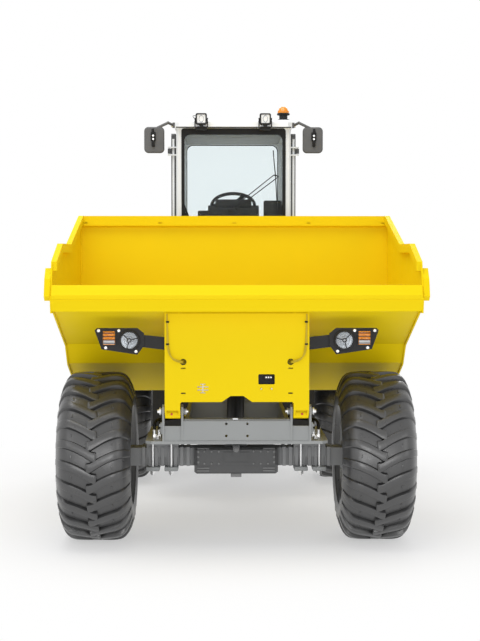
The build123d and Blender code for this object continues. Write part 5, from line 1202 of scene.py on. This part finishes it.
# Stage: pale floor, soft lights and the camera at the photograph's place
stageLook = {"floorHalf": 40.0, "fadeStart": 1.6, "fadeEnd": 3.9, "fadeLeast": 0.46,
             "floorColour": (0.90, 0.90, 0.90), "worldStrength": 0.55}
lampTable = (
    # name, place, aim, size, watts
    ("overhead", (-1.0, -2.0, 7.5), (0.0, -0.5, 1.0), 5.0, 310.0),
    ("frontLeft", (-5.0, -9.0, 4.5), (0.0, -1.0, 1.0), 4.5, 70.0),
    ("frontRight", (6.0, -8.0, 3.0), (0.0, -1.0, 1.0), 4.0, 50.0),
    ("softbox", (0.0, -11.6, 1.7), (0.0, -2.0, 1.0), 4.0, 215.0),
    ("rearFill", (2.0, 8.0, 5.0), (0.0, 1.0, 1.2), 5.0, 240.0),
)
cameraLook = {"place": (-0.109, -10.5, 1.965), "focalPixels": 1291.0, "horizonPixel": (220.3, 258.0),
              "framePixels": (480, 641), "sensor": 36.0}


def buildStage():
    half = stageLook["floorHalf"]
    mesh = bpy.data.meshes.new("floor")
    mesh.from_pydata([(-half, -half, 0), (half, -half, 0), (half, half, 0), (-half, half, 0)], [], [(0, 1, 2, 3)])
    floor = bpy.data.objects.new("floor", mesh)
    bpy.context.collection.objects.link(floor)
    made, shader, wire = startMaterial("floorWhite", stageLook["floorColour"])
    shader.inputs["Roughness"].default_value = 0.9
    place = objectPlace(wire)
    reach = wire.node("ShaderNodeVectorMath", {"operation": "LENGTH"}, {0: place}, out=1)
    fade = wire.node("ShaderNodeMapRange", {"interpolation_type": "SMOOTHSTEP"},
                     {0: reach, 1: stageLook["fadeStart"], 2: stageLook["fadeEnd"], 3: stageLook["fadeLeast"], 4: 1.0})
    glow = wire.node("ShaderNodeEmission", None, {"Color": (1, 1, 1, 1), "Strength": 1.0})
    mixed = wire.node("ShaderNodeMixShader", None, {0: fade, 1: Wire(wire.tree, shader.outputs[0]), 2: glow})
    wire.tree.links.new(mixed.socket, wire.tree.nodes["Material Output"].inputs["Surface"])
    mesh.materials.append(made)

    world = bpy.data.worlds.new("studio")
    bpy.context.scene.world = world
    world.use_nodes = True
    wire = Wire(world.node_tree)
    path = wire.node("ShaderNodeLightPath")
    rays = path.socket.node.outputs
    seen = Wire(wire.tree, rays["Is Camera Ray"]) + Wire(wire.tree, rays["Is Glossy Ray"])
    seen = seen + Wire(wire.tree, rays["Is Transmission Ray"])
    shown = wire.node("ShaderNodeClamp", None, {"Value": seen})
    back = world.node_tree.nodes["Background"]
    strength = stageLook["worldStrength"] + shown * (1 - stageLook["worldStrength"])
    wire.tree.links.new(strength.socket, back.inputs["Strength"])
    back.inputs["Color"].default_value = (1, 1, 1, 1)

    for name, place, aim, size, watts in lampTable:
        light = bpy.data.lights.new(name, "AREA")
        light.size = size
        light.energy = watts
        lamp = bpy.data.objects.new(name, light)
        lamp.location = place
        lamp.rotation_euler = (Vector(aim) - Vector(place)).to_track_quat("-Z", "Y").to_euler()
        bpy.context.collection.objects.link(lamp)


def buildCamera():
    width, height = cameraLook["framePixels"]
    horizonX, horizonY = cameraLook["horizonPixel"]
    focal = cameraLook["focalPixels"]
    data = bpy.data.cameras.new("camera")
    data.sensor_fit = "VERTICAL"
    data.sensor_height = cameraLook["sensor"]
    data.lens = focal / height * cameraLook["sensor"]
    data.clip_end = 200
    camera = bpy.data.objects.new("camera", data)
    camera.location = cameraLook["place"]
    ahead = Vector(((width / 2 - horizonX) / focal, 1, (horizonY - height / 2) / focal))
    camera.rotation_euler = ahead.to_track_quat("-Z", "Y").to_euler()
    bpy.context.collection.objects.link(camera)
    bpy.context.scene.camera = camera


buildStage()
buildCamera()
bpy.context.scene.view_settings.view_transform = "Standard"
print("stage and camera placed")
